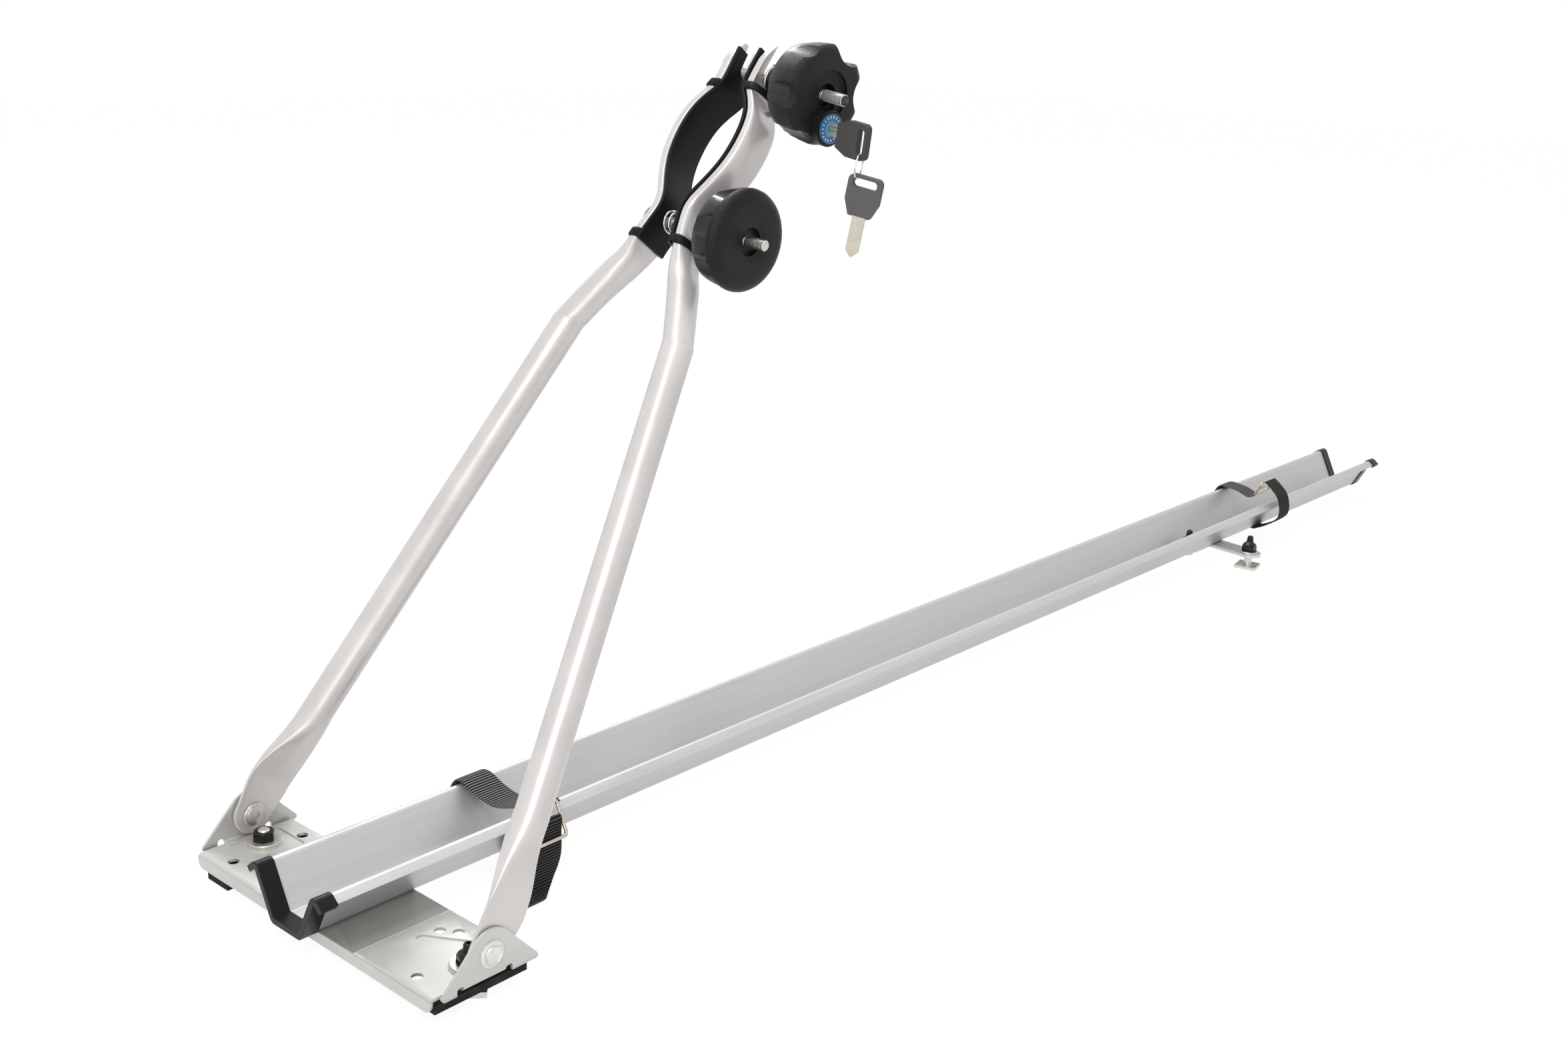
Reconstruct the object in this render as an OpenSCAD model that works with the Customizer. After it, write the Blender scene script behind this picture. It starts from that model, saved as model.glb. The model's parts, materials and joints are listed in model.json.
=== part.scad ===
// Roof mounted bicycle carrier: a wheel rail on a base plate, a folding pair
// of clamp arms for the bicycle's down tube, and a swivelling rear foot.
// Millimetres. X runs rearward along the rail, Y to the right, Z up.
// The origin is the centre of the base plate's four corner holes, on the
// plate's top face.

/* [Base plate] */
// Length of the base plate along the rail
plate_len = 73; // [71:1:85]
// Width of the plate between its two ears
plate_span = 244; // [236:1:260]
// Thickness of the plate's sheet
plate_sheet = 2; // [1.5:0.1:2.4]
// Depth of the folded front and rear edges
flange_h = 9.5; // [7:0.5:11]
// Radius of the folded edges
fold_r = 3; // [2.6:0.1:4]
// Width of the pressed trough that carries the rail
trough_w = 94; // [84:1:98]
// Depth of the pressed trough
trough_depth = 1.5; // [1:0.1:2]
// Depth of the pressed pockets round the front bolts
pocket_depth = 1; // [0.6:0.1:1.2]
// Inset of the corner holes from the plate's front and rear edges
corner_edge = 10.5; // [8.5:0.5:11.5]
// Inset of the corner holes from the plate's ends
corner_inset = 25.5; // [23:0.5:27]
// Diameter of the corner holes
corner_d = 7.5; // [5:0.5:8]
// Inset of the front bolts from the plate's ends
bolt_inset = 15; // [14:0.5:18]
// Place of the front bolts along the rail
bolt_x = 3.5; // [0:0.5:6]

/* [Ears and pivot] */
// Thickness of each ear
ear_t = 2; // [1.5:0.1:2.4]
// Gap between the end of the plate and the ear's inner face
ear_gap = 2.5; // [2:0.1:3]
// Radius of the ear's rounded top
ear_r = 16; // [13:0.5:18]
// Place of the pivot along the rail
pivot_x = 5; // [2:0.5:8]
// Height of the pivot above the plate
pivot_z = 14.6; // [14.6:0.1:18]
// Radius of the rivet's shank
rivet_r = 4; // [3:0.1:4.5]
// Radius of the rivet's outer head
rivet_head_r = 8.75; // [7:0.25:10]
// Thickness of the washers inside the arm feet
pivot_washer_t = 1; // [0.6:0.1:1.2]

/* [Pads and front bolts] */
// Gap between the rubber pads and the plate's folded edges
pad_gap = 0.3; // [0.2:0.1:3]
// Width of each rubber pad across the carrier
pad_w = 28; // [25:1:34]
// Height from the underside of the pads to the plate's top
pad_drop = 10; // [9.6:0.2:16]
// Radius of all the M8 shanks
shank_r = 4; // [3.5:0.1:4]
// Width of the T heads' plates
t_head_w = 22; // [18:1:24]
// Thickness of the T heads' plates
t_head_t = 4; // [2:0.5:5]
// Gap from the pads down to the front T heads
bar_lip = 2.5; // [2:0.5:6]
// Height of the rear foot's cap nuts
cap_nut_h = 16; // [15:0.5:18]
// Height of the low cap nut on the left front bolt
low_nut_h = 12.5; // [12:0.5:14]
// Height of the plain nut on the right front bolt
plain_nut_h = 6.5; // [6:0.5:8]
// Width of the cap nuts' hexagons across the flats
cap_hex = 13; // [12.6:0.2:15]
// Thickness of the large washers
washer_t = 1.6; // [1:0.1:2]
// Radius of the large washers
washer_r = 11.5; // [10:0.5:12]

/* [Rail] */
// Length of the rail
rail_len = 1500; // [1350:10:1700]
// How far the rail reaches ahead of the base plate
rail_front = 11.5; // [11.5:0.5:30]
// Sideways place of the rail's centre line
rail_y = 2.4; // [-3:0.1:3]
// Half width of the rail's floor
floor_half = 14.4; // [13:0.2:16]
// Half width between the tops of the walls
wall_half = 30.9; // [28:0.1:33]
// Height of the rail
rail_h = 34.4; // [28:0.1:40]
// How far each lip turns outward
lip_out = 7; // [5:0.5:8]
// How far each lip turns down
lip_down = 7.4; // [5:0.2:9]
// Thickness of the rail's walls
rail_t = 2; // [1.5:0.1:2.4]
// How far the end caps cover the rail
cap_cover = 11; // [8:0.5:11.2]
// Thickness of the end caps
cap_t = 1.2; // [0.8:0.1:1.6]
// Distance between the two screws that hold the rail
rail_screw_dx = 28; // [24:1:34]
// Radius of the rail screws' shanks
screw_r = 3; // [2:0.1:3.2]

/* [Rear foot] */
// Place of the rear foot's pivot along the rail
foot_x = 1063; // [900:1:1080]
// Length of the foot bar's first leg
foot_leg = 46; // [40:1:52]
// Sideways reach from the pivot to the rear bolt
foot_reach = 53.9; // [51:0.1:60]
// Place of the rear bolt behind the pivot
foot_set = 33; // [30:1:36]
// Width of the foot bar
bar_w = 23; // [22:0.5:24]
// Thickness of the foot bar
bar_t = 3; // [2:0.5:4]
// Height of the rear bolt below the foot bar
rear_drop = 10.5; // [8:0.5:16]

/* [Clamp arms] */
// Rearward lean of the arms from upright
tilt = 36; // [30:1:40]
// Length of the straight legs from the pivot to the bend
leg_len = 392; // [360:1:440]
// Diameter of the arm tubes
tube_d = 22; // [20:0.5:23]
// Wall of the arm tubes
tube_wall = 1.5; // [1:0.1:2]
// Thickness of the flattened arm feet
tab_t = 3.5; // [3:0.1:3.8]
// Radius of the arm feet round the pivot
tab_r = 14; // [11:0.5:14]
// Half width of the flattened tube
band_half = 14.2; // [13.8:0.2:16.4]
// Half distance between the legs' axes at the bend
bend_half = 52.8; // [50:0.2:56]
// Half opening of the jaw at its widest, inside the liners
jaw_half = 24.9; // [23:0.1:28]
// Half gap between the liners at the jaw's two ends
pinch_half = 8; // [8:0.2:10]
// Sideways offset of the jaw from the carrier's middle
jaw_shift = 9.5; // [0:0.5:10]
// Sideways offset of the legs at the bend
bend_shift = 11; // [0:0.5:12]
// Thickness of the jaw liners
liner_t = 2.6; // [2:0.1:3]
// Width of the slots for the upper bolt
slot_w = 9.6; // [9:0.1:10.5]

/* [Clamp bolts and knobs] */
// Place of the lower bolt above the bend
lower_up = 84.5; // [82:0.5:88]
// Downward slope of the lower bolt toward its knob
lower_drop = 3.5; // [0:0.5:5]
// Radius of the lower knob
lower_knob_r = 34.5; // [32:0.5:38]
// Thickness of the lower knob
lower_knob_t = 25; // [22:1:30]
// Length of the lower knob's neck
lower_neck = 17.4; // [10:0.1:20]
// Place of the upper bolt's hinge pin above the bend
pin_up = 207.3; // [205:0.5:209]
// Radius of the hinge pin
pin_r = 2.5; // [2:0.1:2.6]
// Downward slope of the upper bolt toward its knob
upper_drop = 8.5; // [6:0.5:9]
// Radius of the upper knob
upper_knob_r = 33.5; // [29:0.5:34]
// Thickness of the upper knob
upper_knob_t = 29; // [26:1:34]
// Length of the upper knob's neck
upper_neck = 22.4; // [16:0.1:26]
// How far the bolts stand out of the knobs
bolt_show = 13; // [10:1:20]
// Radius of the spring's wire
spring_wire_r = 0.75; // [0.5:0.05:0.8]
// Number of the spring's curls
spring_curls = 4; // [3:1:5]
// Mean radius of the spring's widest curl
spring_r = 8; // [6.5:0.1:9]

/* [Lock and keys] */
// Radius of the lock's barrel
lock_r = 10; // [8:0.5:10.5]
// Distance of the lock's axis below the upper bolt
lock_down = 20.4; // [19.6:0.2:22]
// Radius of the turning lock plug
plug_r = 6; // [5.5:0.1:7]
// Width of the keys' blades
blade_w = 9; // [7:0.5:10]
// Thickness of the keys' blades
blade_t = 2.2; // [1.6:0.1:2.6]
// Height of the keys' heads
head_h = 24; // [22:1:26]
// Length of the keys' heads
head_len = 27.5; // [26:0.5:30]
// Thickness of the keys' heads
head_t = 5; // [4:0.5:6]
// Radius of the key ring
ring_r = 8.7; // [8:0.1:10]
// Radius of the key ring's wire
ring_wire_r = 0.6; // [0.4:0.05:0.7]

/* [Straps] */
// Width of the straps
strap_w = 25; // [20:1:28]
// Thickness of the straps
strap_t = 1.6; // [1.2:0.1:1.8]
// Place of the front strap along the rail
strap_x1 = 120.5; // [100:0.5:160]
// Place of the rear strap along the rail
strap_x2 = 1191.5; // [1160:0.5:1240]
// Radius of the buckles' wire
wire_r = 1.3; // [1:0.1:1.4]

/* [Hidden] */
$fn = 64;

// Clearances: a turning fit, a fixed fit, and the room between loose pieces
run_fit = 0.1;
fixed_fit = 0.05;
room = 0.3;

// The plate and its ears
plate_hx = plate_len/2;
corner_dx = plate_len - 2*corner_edge;
plate_hy = plate_span/2;
ear_in = plate_hy + ear_gap;
ear_out = ear_in + ear_t;
ear_foot_z = -2.6;
bolt_y = plate_hy - bolt_inset;
corner_y = plate_hy - corner_inset;
pivot = [pivot_x, 0, pivot_z];
tab_gap = 0.75;
tab_out = ear_in - tab_gap;
washer_gap = 0.5;

// The rail
rail_z = -trough_depth;
rail_x0 = -plate_hx - rail_front;
rail_x1 = rail_x0 + rail_len;
rail_top = rail_z + rail_h;
lip_half = wall_half + lip_out;
lip_z = rail_top - lip_down;

// The rear foot
bar_top = rail_z - room;
foot_pivot = [foot_x, rail_y];
foot_bolt = [foot_x + foot_set, rail_y - foot_reach];

// The clamp arms, in the frame of the arms: N across the band, Y sideways
// and S along the arms from the pivot
foot_half = tab_out - 0.35;
leg_slope = (foot_half - bend_half)/leg_len;
tube_depth = tube_d*sqrt(1 + leg_slope*leg_slope);
jaw_s = leg_len + 68;
arm_s = leg_len + 224;
lower_s = leg_len + lower_up;
pin_s = leg_len + pin_up;
pin_y = jaw_shift + pinch_half + liner_t + 9;
lower_y = jaw_shift + pinch_half + 3;

// Smooth value of a table of [place, value] rows at a place
function slope_at(t, i) = let(a = max(i-1, 0), b = min(i+1, len(t)-1))
  (t[b][1] - t[a][1])/(t[b][0] - t[a][0]);
function row_of(t, x, i = 0) = i >= len(t)-2 || x < t[i+1][0] ? i : row_of(t, x, i+1);
function smooth_at(t, x) = let(i = row_of(t, x), h = t[i+1][0] - t[i][0],
    u = min(max((x - t[i][0])/h, 0), 1), a = slope_at(t, i)*h, b = slope_at(t, i+1)*h)
  t[i][1]*(2*u*u*u - 3*u*u + 1) + a*(u*u*u - 2*u*u + u)
  + t[i+1][1]*(3*u*u - 2*u*u*u) + b*(u*u*u - u*u);

// Offsets of the points of an open path, to the left of its direction
function unit(v) = v/norm(v);
function left_of(v) = [-v[1], v[0]];
function path_normal(p, i) = let(n = len(p), a = i > 0 ? unit(p[i] - p[i-1]) : unit(p[1] - p[0]),
    b = i < n-1 ? unit(p[i+1] - p[i]) : a, m = unit(a + b))
  left_of(m)/max(m*b, 0.3);
function beside(p, d) = [for (i = [0:len(p)-1]) p[i] + d*path_normal(p, i)];
function flip(p) = [for (i = [len(p)-1:-1:0]) p[i]];
function ribbon(p, t) = concat(beside(p, t/2), flip(beside(p, -t/2)));

// A corner b between a and c, rounded with a radius in n steps
function corner(a, b, c, r, n = 6) = let(u = unit(a - b), v = unit(c - b), h = acos(u*v)/2,
    m = b + unit(u + v)*r/sin(h), p = b + u*r/tan(h), q = b + v*r/tan(h),
    a0 = atan2(p[1]-m[1], p[0]-m[0]), w = atan2(q[1]-m[1], q[0]-m[0]) - a0,
    a1 = w > 180 ? w - 360 : w < -180 ? w + 360 : w)
  r <= 0 ? [b] : [for (i = [0:n]) m + r*[cos(a0 + a1*i/n), sin(a0 + a1*i/n)]];
function rounded(p, r) = let(n = len(p))
  [for (i = [0:n-1]) each corner(p[(i+n-1)%n], p[i], p[(i+1)%n], r[i])];
function rounded_path(p, r) = let(n = len(p))
  concat([p[0]], [for (i = [1:n-2]) each corner(p[i-1], p[i], p[i+1], r)], [p[n-1]]);

// Extrusions of an outline given in (Y, Z), along X, and in (X, Z), along Y
module along_x(x0, x1) {
  translate([x0, 0, 0]) rotate([90, 0, 90]) linear_extrude(x1 - x0) children();
}
module along_y(y0, y1) {
  translate([0, y1, 0]) rotate([90, 0, 0]) linear_extrude(y1 - y0) children();
}

// A solid through rings of points, each anticlockwise seen from the far end.
// A ring's second half runs back beside its first, so strips close both ends
module loft(rings) {
  n = len(rings[0]);
  m = len(rings);
  sides = [for (i = [0:m-2]) for (j = [0:n-1]) each
    [[i*n + j, (i+1)*n + j, (i+1)*n + (j+1)%n], [i*n + j, (i+1)*n + (j+1)%n, i*n + (j+1)%n]]];
  near_end = [for (j = [0:n/2 - 2]) [j, j+1, n-2-j, n-1-j]];
  far_end = [for (f = near_end) [for (k = [3:-1:0]) (m-1)*n + f[k]]];
  polyhedron([for (r = rings) each r], concat(sides, near_end, far_end));
}

module hexagon_prism(across, h) {
  cylinder(h = h, r = across/2/cos(30), $fn = 6);
}

// Frames of the clamp arms and of their two bolts, whose Z runs to the knob
module in_arms() {
  translate(pivot) rotate([0, tilt, 0]) children();
}
module on_lower_bolt() {
  in_arms() translate([0, lower_y, lower_s]) rotate([90 + lower_drop, 0, 0]) children();
}
module on_upper_bolt() {
  in_arms() translate([0, pin_y, pin_s]) rotate([90 + upper_drop, 0, 0]) children();
}
// Frame of the lock: X points down, Z runs to the key
module on_lock() {
  on_upper_bolt() rotate([0, 0, tilt - 90]) translate([lock_down, 0, 0]) children();
}

// A shank with a run of rounded thread grooves at its far end
thread_pitch = 1.25;
thread_depth = 0.6;
module threaded_rod(l, grooves) {
  g0 = l - 1 - grooves*thread_pitch;
  rotate_extrude() polygon(concat([[0, 0], [shank_r, 0], [shank_r, g0]],
    [for (i = [0:grooves-1]) each [[shank_r - thread_depth, g0 + (i + 0.5)*thread_pitch],
      [shank_r, g0 + (i + 1)*thread_pitch]]],
    [[shank_r - 0.8, l], [0, l]]));
}

module washer(r, bore, t) {
  rotate_extrude() polygon([[bore, 0], [r - 0.3, 0], [r, 0.3], [r, t - 0.3], [r - 0.3, t], [bore, t]]);
}

// A cap nut: a hexagon under a bell that narrows to a nipple, open on top
nut_bore_r = shank_r + fixed_fit;
nut_corner_r = cap_hex/2/cos(30);
nipple_r = 3.1;
nipple_bore_r = 1.6;
module cap_nut(h) {
  bell = [[nut_corner_r + 0.2, 0], [nut_corner_r + 0.2, 0.06], [nut_corner_r - 0.1, 0.34],
    [nut_corner_r - 1, 0.46], [nut_corner_r - 2.6, 0.54], [nipple_r + 0.5, 0.61], [nipple_r, 0.92],
    [nipple_r - 0.7, 1]];
  bore_h = h/2;
  difference() {
    rotate_extrude() polygon(concat([[0, 0]], [for (p = bell) [p[0], h*p[1]]], [[0, h]]));
    difference() {
      translate([0, 0, 1]) cylinder(h = 0.475*h - 1, r = 2*nut_corner_r);
      hexagon_prism(cap_hex, bore_h);
    }
    translate([0, 0, -1]) cylinder(h = bore_h + 1, r = nut_bore_r);
    cylinder(h = h + 1, r = nipple_bore_r);
  }
}
// A plain nut that leaves the end of its bolt in view
module plain_nut(h) {
  difference() {
    intersection() {
      hexagon_prism(cap_hex, h);
      rotate_extrude() polygon([[0, 0], [nut_corner_r + 0.2, 0], [nut_corner_r + 0.2, h - 1.4],
        [nut_corner_r - 1.6, h], [0, h]]);
    }
    translate([0, 0, -1]) cylinder(h = h + 2, r = nut_bore_r);
  }
}

// A T bolt hanging from Z = 0, with its head's top at -drop
module t_bolt(drop, up, turn, head_t) {
  rotate([0, 0, turn]) translate([-t_head_w/2, -t_head_w/2, -drop - head_t])
    cube([t_head_w, t_head_w, head_t]);
  translate([0, 0, -drop - 0.5]) threaded_rod(drop + 0.5 + up, thread_runs);
}

// Outline of the plate's pressed trough, seen along the rail
ramp_w = 4;
trough_end = trough_w/2;
function plate_line(up) = [[-plate_hy - 1, up], [-trough_end - ramp_w, up],
  [-trough_end, up - trough_depth], [trough_end, up - trough_depth],
  [trough_end + ramp_w, up], [plate_hy + 1, up]];
flange_corner_r = 5;

// The pressed pocket round each front bolt, for the right-hand side
pocket = [[-17, plate_hy - 4], [-17, plate_hy - 34], [2, trough_end + ramp_w + 6],
  [21.5, plate_hy - 34], [21.5, plate_hy - 4]];
boss_r = 12.2;
module pocket_shape(grow) {
  offset_in = [for (p = pocket) p + grow*[sign(p[0]-2), p[1] > plate_hy - 10 ? 1 : -1]];
  polygon(rounded(offset_in, [3, 3, 4, 3, 3]));
}

// The ear's outline in (X, Z): a triangle with a round top
ear_x0 = -plate_hx + 2.5;
ear_x1 = plate_hx + 6.5;
bend_half_w = 15.5;
notch_r = 2.5;
function tangent(p, c, r, s) = atan2(p[1]-c[1], p[0]-c[0]) + s*acos(r/norm(p - c));
module ear_shape() {
  c = [pivot_x, pivot_z];
  a0 = tangent([ear_x1, ear_foot_z], c, ear_r, 1);
  a1 = tangent([ear_x0, ear_foot_z], c, ear_r, -1) + 360;
  top = [for (i = [0:16]) let(a = a0 + (a1 - a0)*i/16) c + ear_r*[cos(a), sin(a)]];
  tips = [[ear_x0, ear_foot_z], [ear_x1, ear_foot_z]];
  polygon(concat(corner(top[16], tips[0], tips[1], 2), corner(tips[0], tips[1], top[0], 2), top));
}
module ear() {
  bend_in = 1.5;
  bend_y = ear_in - bend_in;
  difference() {
    along_y(ear_in, ear_out) ear_shape();
    translate([-bend_half_w, ear_in - 1, -10]) cube([2*bend_half_w, ear_t + 2, 10 + bend_in]);
    for (s = [-1, 1]) {
      translate([s*(bend_half_w + notch_r), ear_in - 1, 0]) rotate([-90, 0, 0])
        cylinder(h = ear_t + 2, r = notch_r);
      translate([s*(bend_half_w + notch_r) - notch_r, ear_in - 1, -10])
        cube([2*notch_r, ear_t + 2, 10]);
    }
    translate([pivot_x, ear_in - 1, pivot_z]) rotate([-90, 0, 0])
      cylinder(h = ear_t + 2, r = rivet_r + fixed_fit);
  }
  arc = [for (i = [0:6]) let(a = -90 + 90*i/6) [cos(a), sin(a)]];
  centre = [bend_y, bend_in];
  along_x(-bend_half_w, bend_half_w) polygon(concat([[plate_hy - 2, 0]],
    [for (p = arc) centre + bend_in*p],
    [for (p = flip(arc)) centre + [(bend_in + ear_t)*p[0], (bend_in + plate_sheet)*p[1]]],
    [[plate_hy - 2, -plate_sheet]]));
}

slot_holes = [[15, 65], [22, 74.5]];
module base_plate() {
  color([0.72, 0.71, 0.69]) {
    difference() {
      intersection() {
        along_y(-plate_hy, plate_hy) polygon(rounded([[-plate_hx, -flange_h], [plate_hx, -flange_h],
          [plate_hx, 0], [-plate_hx, 0]], [0, 0, fold_r, fold_r]));
        along_x(-plate_hx - 1, plate_hx + 1) polygon(concat(
          rounded([[-plate_hy, -flange_h], [plate_hy, -flange_h], [plate_hy, 2], [-plate_hy, 2]],
            [flange_corner_r, flange_corner_r, 0, 0])));
      }
      along_x(-plate_hx - 1, plate_hx + 1)
        polygon(concat(plate_line(0), [[plate_hy + 1, 3], [-plate_hy - 1, 3]]));
      difference() {
        along_x(-plate_hx + plate_sheet, plate_hx - plate_sheet) polygon(concat(
          [[plate_hy + 1, -flange_h - 1], [-plate_hy - 1, -flange_h - 1]], plate_line(-plate_sheet)));
        for (s = [0, 1]) mirror([0, s, 0])
          translate([0, 0, -plate_sheet - pocket_depth]) linear_extrude(pocket_depth + 1) pocket_shape(2);
      }
      for (s = [0, 1]) mirror([0, s, 0]) {
        difference() {
          translate([0, 0, -pocket_depth]) linear_extrude(pocket_depth + 1) pocket_shape(0);
          translate([bolt_x, bolt_y, -pocket_depth - 1]) cylinder(h = pocket_depth + 3, r = boss_r);
        }
        translate([bolt_x, bolt_y, -20]) cylinder(h = 30, r = shank_r + 0.5);
        for (x = [-corner_dx/2, corner_dx/2]) translate([x, corner_y, -20])
          cylinder(h = 30, r = corner_d/2);
        for (p = slot_holes) translate([p[0], p[1], -20]) cylinder(h = 30, r = corner_d/2);
      }
      for (s = [-1, 1]) translate([s*rail_screw_dx/2, rail_y, -20]) cylinder(h = 30, r = screw_r + room);
    }
    for (s = [0, 1]) mirror([0, s, 0]) ear();
  }
}

pad_half = plate_hx - plate_sheet - pad_gap;
pad_out = plate_hy + 1.2;
pad_in = pad_out - pad_w;
// The far pad's lip, which hangs below the plate's flange
lip_t = 5;
lip_w = 23;
lip_inset = 8.2;
lip_drop = pad_drop + 6.5;
module pad(lip) {
  top = -plate_sheet - pocket_depth;
  shelf = -4.6;
  difference() {
    union() {
      if (lip) translate([-pad_half, pad_out - lip_inset - lip_w, -lip_drop])
        cube([lip_t, lip_w, lip_drop - pad_drop + 1]);
      along_x(-pad_half, pad_half) polygon([[pad_in, -pad_drop], [pad_out, -pad_drop],
        [pad_out, shelf], [plate_hy - 0.2, shelf], [plate_hy - 0.2, top], [pad_in, top]]);
    }
    translate([bolt_x, bolt_y, -lip_drop - 1]) cylinder(h = lip_drop, r = shank_r + 0.5);
    for (x = [-corner_dx/2, corner_dx/2]) translate([x, corner_y, -lip_drop - 1])
      cylinder(h = lip_drop, r = corner_d/2 + 1.5);
  }
}
module pad_left() {
  color([0.07, 0.07, 0.07]) mirror([0, 1, 0]) pad(false);
}
module pad_right() {
  color([0.07, 0.07, 0.07]) pad(true);
}

// How far a bolt reaches up into its nut, over the washer
nut_seat = washer_t + run_fit;
thread_runs = 6;
function bolt_up(nut_h) = nut_seat + nut_h/2 - 0.7;
plain_up = nut_seat + plain_nut_h + 0.9;
left_turn = 48;
right_turn = -16;
module front_t_bolt_left() {
  color([0.75, 0.74, 0.70]) translate([bolt_x, -bolt_y, 0])
    t_bolt(pad_drop + bar_lip, bolt_up(low_nut_h), left_turn, t_head_t);
}
module front_t_bolt_right() {
  color([0.75, 0.74, 0.70]) translate([bolt_x, bolt_y, 0])
    t_bolt(pad_drop + bar_lip, plain_up, right_turn, t_head_t);
}
module front_washers() {
  color([0.75, 0.74, 0.70]) for (s = [-1, 1]) translate([bolt_x, s*bolt_y, 0])
    washer(washer_r, shank_r + room, washer_t);
}
module front_cap_nut_left() {
  color([0.05, 0.05, 0.05]) translate([bolt_x, -bolt_y, nut_seat]) rotate([0, 0, 12])
    cap_nut(low_nut_h);
}
module front_cap_nut_right() {
  color([0.05, 0.05, 0.05]) translate([bolt_x, bolt_y, nut_seat]) rotate([0, 0, -9])
    plain_nut(plain_nut_h);
}

// The tubular rivet: a ringed head outside the ear, a shank and an inner rim
rivet_in = tab_out - tab_t - washer_gap - pivot_washer_t;
module pivot_rivet() {
  out = ear_out;
  rim = rivet_in - 1.5;
  translate([pivot_x, 0, pivot_z]) rotate([-90, 0, 0]) rotate_extrude() polygon([
    [2.4, rim], [6, rim], [6, rivet_in - 0.1], [rivet_r, rivet_in - 0.1], [rivet_r, out],
    [rivet_head_r, out], [rivet_head_r, out + 0.7], [rivet_head_r - 1.3, out + 1.7],
    [rivet_head_r - 2.1, out + 1.7], [rivet_head_r - 2.4, out + 1.3], [rivet_head_r - 3.1, out + 1.3],
    [rivet_head_r - 3.5, out + 2.1], [2.2, out + 2.6], [0, out + 2.6], [0, rim + 6], [2.4, rim + 6]]);
}
module pivot_rivet_left() {
  color([0.72, 0.71, 0.68]) mirror([0, 1, 0]) pivot_rivet();
}
module pivot_rivet_right() {
  color([0.72, 0.71, 0.68]) pivot_rivet();
}
module pivot_washers() {
  color([0.75, 0.74, 0.70]) for (s = [0, 1]) mirror([0, s, 0])
    translate([pivot_x, rivet_in, pivot_z]) rotate([-90, 0, 0])
      washer(8, rivet_r + fixed_fit, pivot_washer_t);
}

// The rail's section, drawn along the middle of its wall
rail_bend_r = 2.5;
function rail_line(grow) = let(h = rail_t/2, k = grow/sqrt(2),
    half = [[floor_half - h*0.3, rail_z + h], [wall_half - h*0.4, rail_top - h*1.2],
      [lip_half - h*0.7 + k, lip_z + h*0.7 - k]])
  rounded_path([[-half[2][0], half[2][1]], [-half[1][0], half[1][1]], [-half[0][0], half[0][1]],
    half[0], half[1], half[2]], rail_bend_r);
module rail_section(t, grow) {
  polygon(flip(ribbon(rail_line(grow), t)));
}
module rail() {
  color([0.75, 0.75, 0.76]) difference() {
    translate([0, rail_y, 0]) along_x(rail_x0, rail_x1) rail_section(rail_t, 0);
    for (s = [-1, 1]) translate([s*rail_screw_dx/2, rail_y, rail_z - 1])
      cylinder(h = rail_t + 2, r = screw_r + room);
    translate([foot_x, rail_y, rail_z - 1]) cylinder(h = rail_t + 2, r = shank_r + 0.2);
  }
}
module rail_screws() {
  color([0.75, 0.75, 0.73]) for (s = [-1, 1]) translate([s*rail_screw_dx/2, rail_y, rail_z]) {
    difference() {
      translate([0, 0, rail_t]) cylinder(h = 3, r1 = 2*screw_r, r2 = 2*screw_r - 1);
      translate([0, 0, rail_t + 1.6]) cylinder(h = 2, r = 2, $fn = 6);
    }
    translate([0, 0, -plate_sheet - 6.5]) cylinder(h = plate_sheet + 7 + rail_t, r = screw_r);
  }
}
module rail_nuts() {
  color([0.75, 0.75, 0.73]) for (s = [-1, 1])
    translate([s*rail_screw_dx/2, rail_y, rail_z - plate_sheet - 5]) difference() {
      hexagon_prism(3.3*screw_r, 5);
      translate([0, 0, -1]) cylinder(h = 7, r = screw_r + fixed_fit);
    }
}
module front_end_cap() {
  color([0.03, 0.03, 0.03]) translate([0, rail_y, 0]) difference() {
    along_x(rail_x0 - cap_t, rail_x0 + cap_cover) rail_section(rail_t + 2*cap_t, cap_t);
    along_x(rail_x0, rail_x0 + cap_cover + 1) rail_section(rail_t, 0);
  }
}
module rear_end_cap() {
  color([0.03, 0.03, 0.03]) translate([0, rail_y, 0]) difference() {
    along_x(rail_x1 - cap_cover, rail_x1 + cap_t) rail_section(rail_t + 2*cap_t, cap_t);
    along_x(rail_x1 - cap_cover - 1, rail_x1) rail_section(rail_t, 0);
  }
}

// The rear foot: a bent flat bar that turns under the rail
module rear_bar() {
  elbow = [foot_x + foot_leg - 6.5, rail_y];
  tip = foot_bolt + unit(foot_bolt - elbow)*bar_w*0.05;
  color([0.75, 0.75, 0.74]) translate([0, 0, bar_top - bar_t]) difference() {
    union() {
      linear_extrude(bar_t) polygon(flip(ribbon([foot_pivot, elbow, tip], bar_w)));
      for (p = [foot_pivot, tip]) translate([p[0], p[1], 0]) cylinder(h = bar_t, r = bar_w/2);
    }
    translate([foot_x, rail_y, -1]) cylinder(h = bar_t + 2, r = shank_r + run_fit);
    translate([foot_bolt[0], foot_bolt[1], -1]) cylinder(h = bar_t + 2, r = shank_r + run_fit);
  }
}
pivot_head_h = 3.6;
screw_low = bar_top - bar_t - 0.2 - 1.2;
module rear_pivot_screw() {
  color([0.75, 0.75, 0.73]) translate([foot_x, rail_y, 0]) {
    difference() {
      translate([0, 0, screw_low - pivot_head_h]) cylinder(h = pivot_head_h, r1 = 5.5, r2 = 6.6);
      translate([0, 0, screw_low - pivot_head_h - 1]) cylinder(h = 3, r = 2.9, $fn = 6);
    }
    translate([0, 0, screw_low - 0.5])
      cylinder(h = 0.5 + rail_z + rail_t + cap_nut_h/2 - 0.7 - screw_low, r = shank_r);
  }
}
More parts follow.
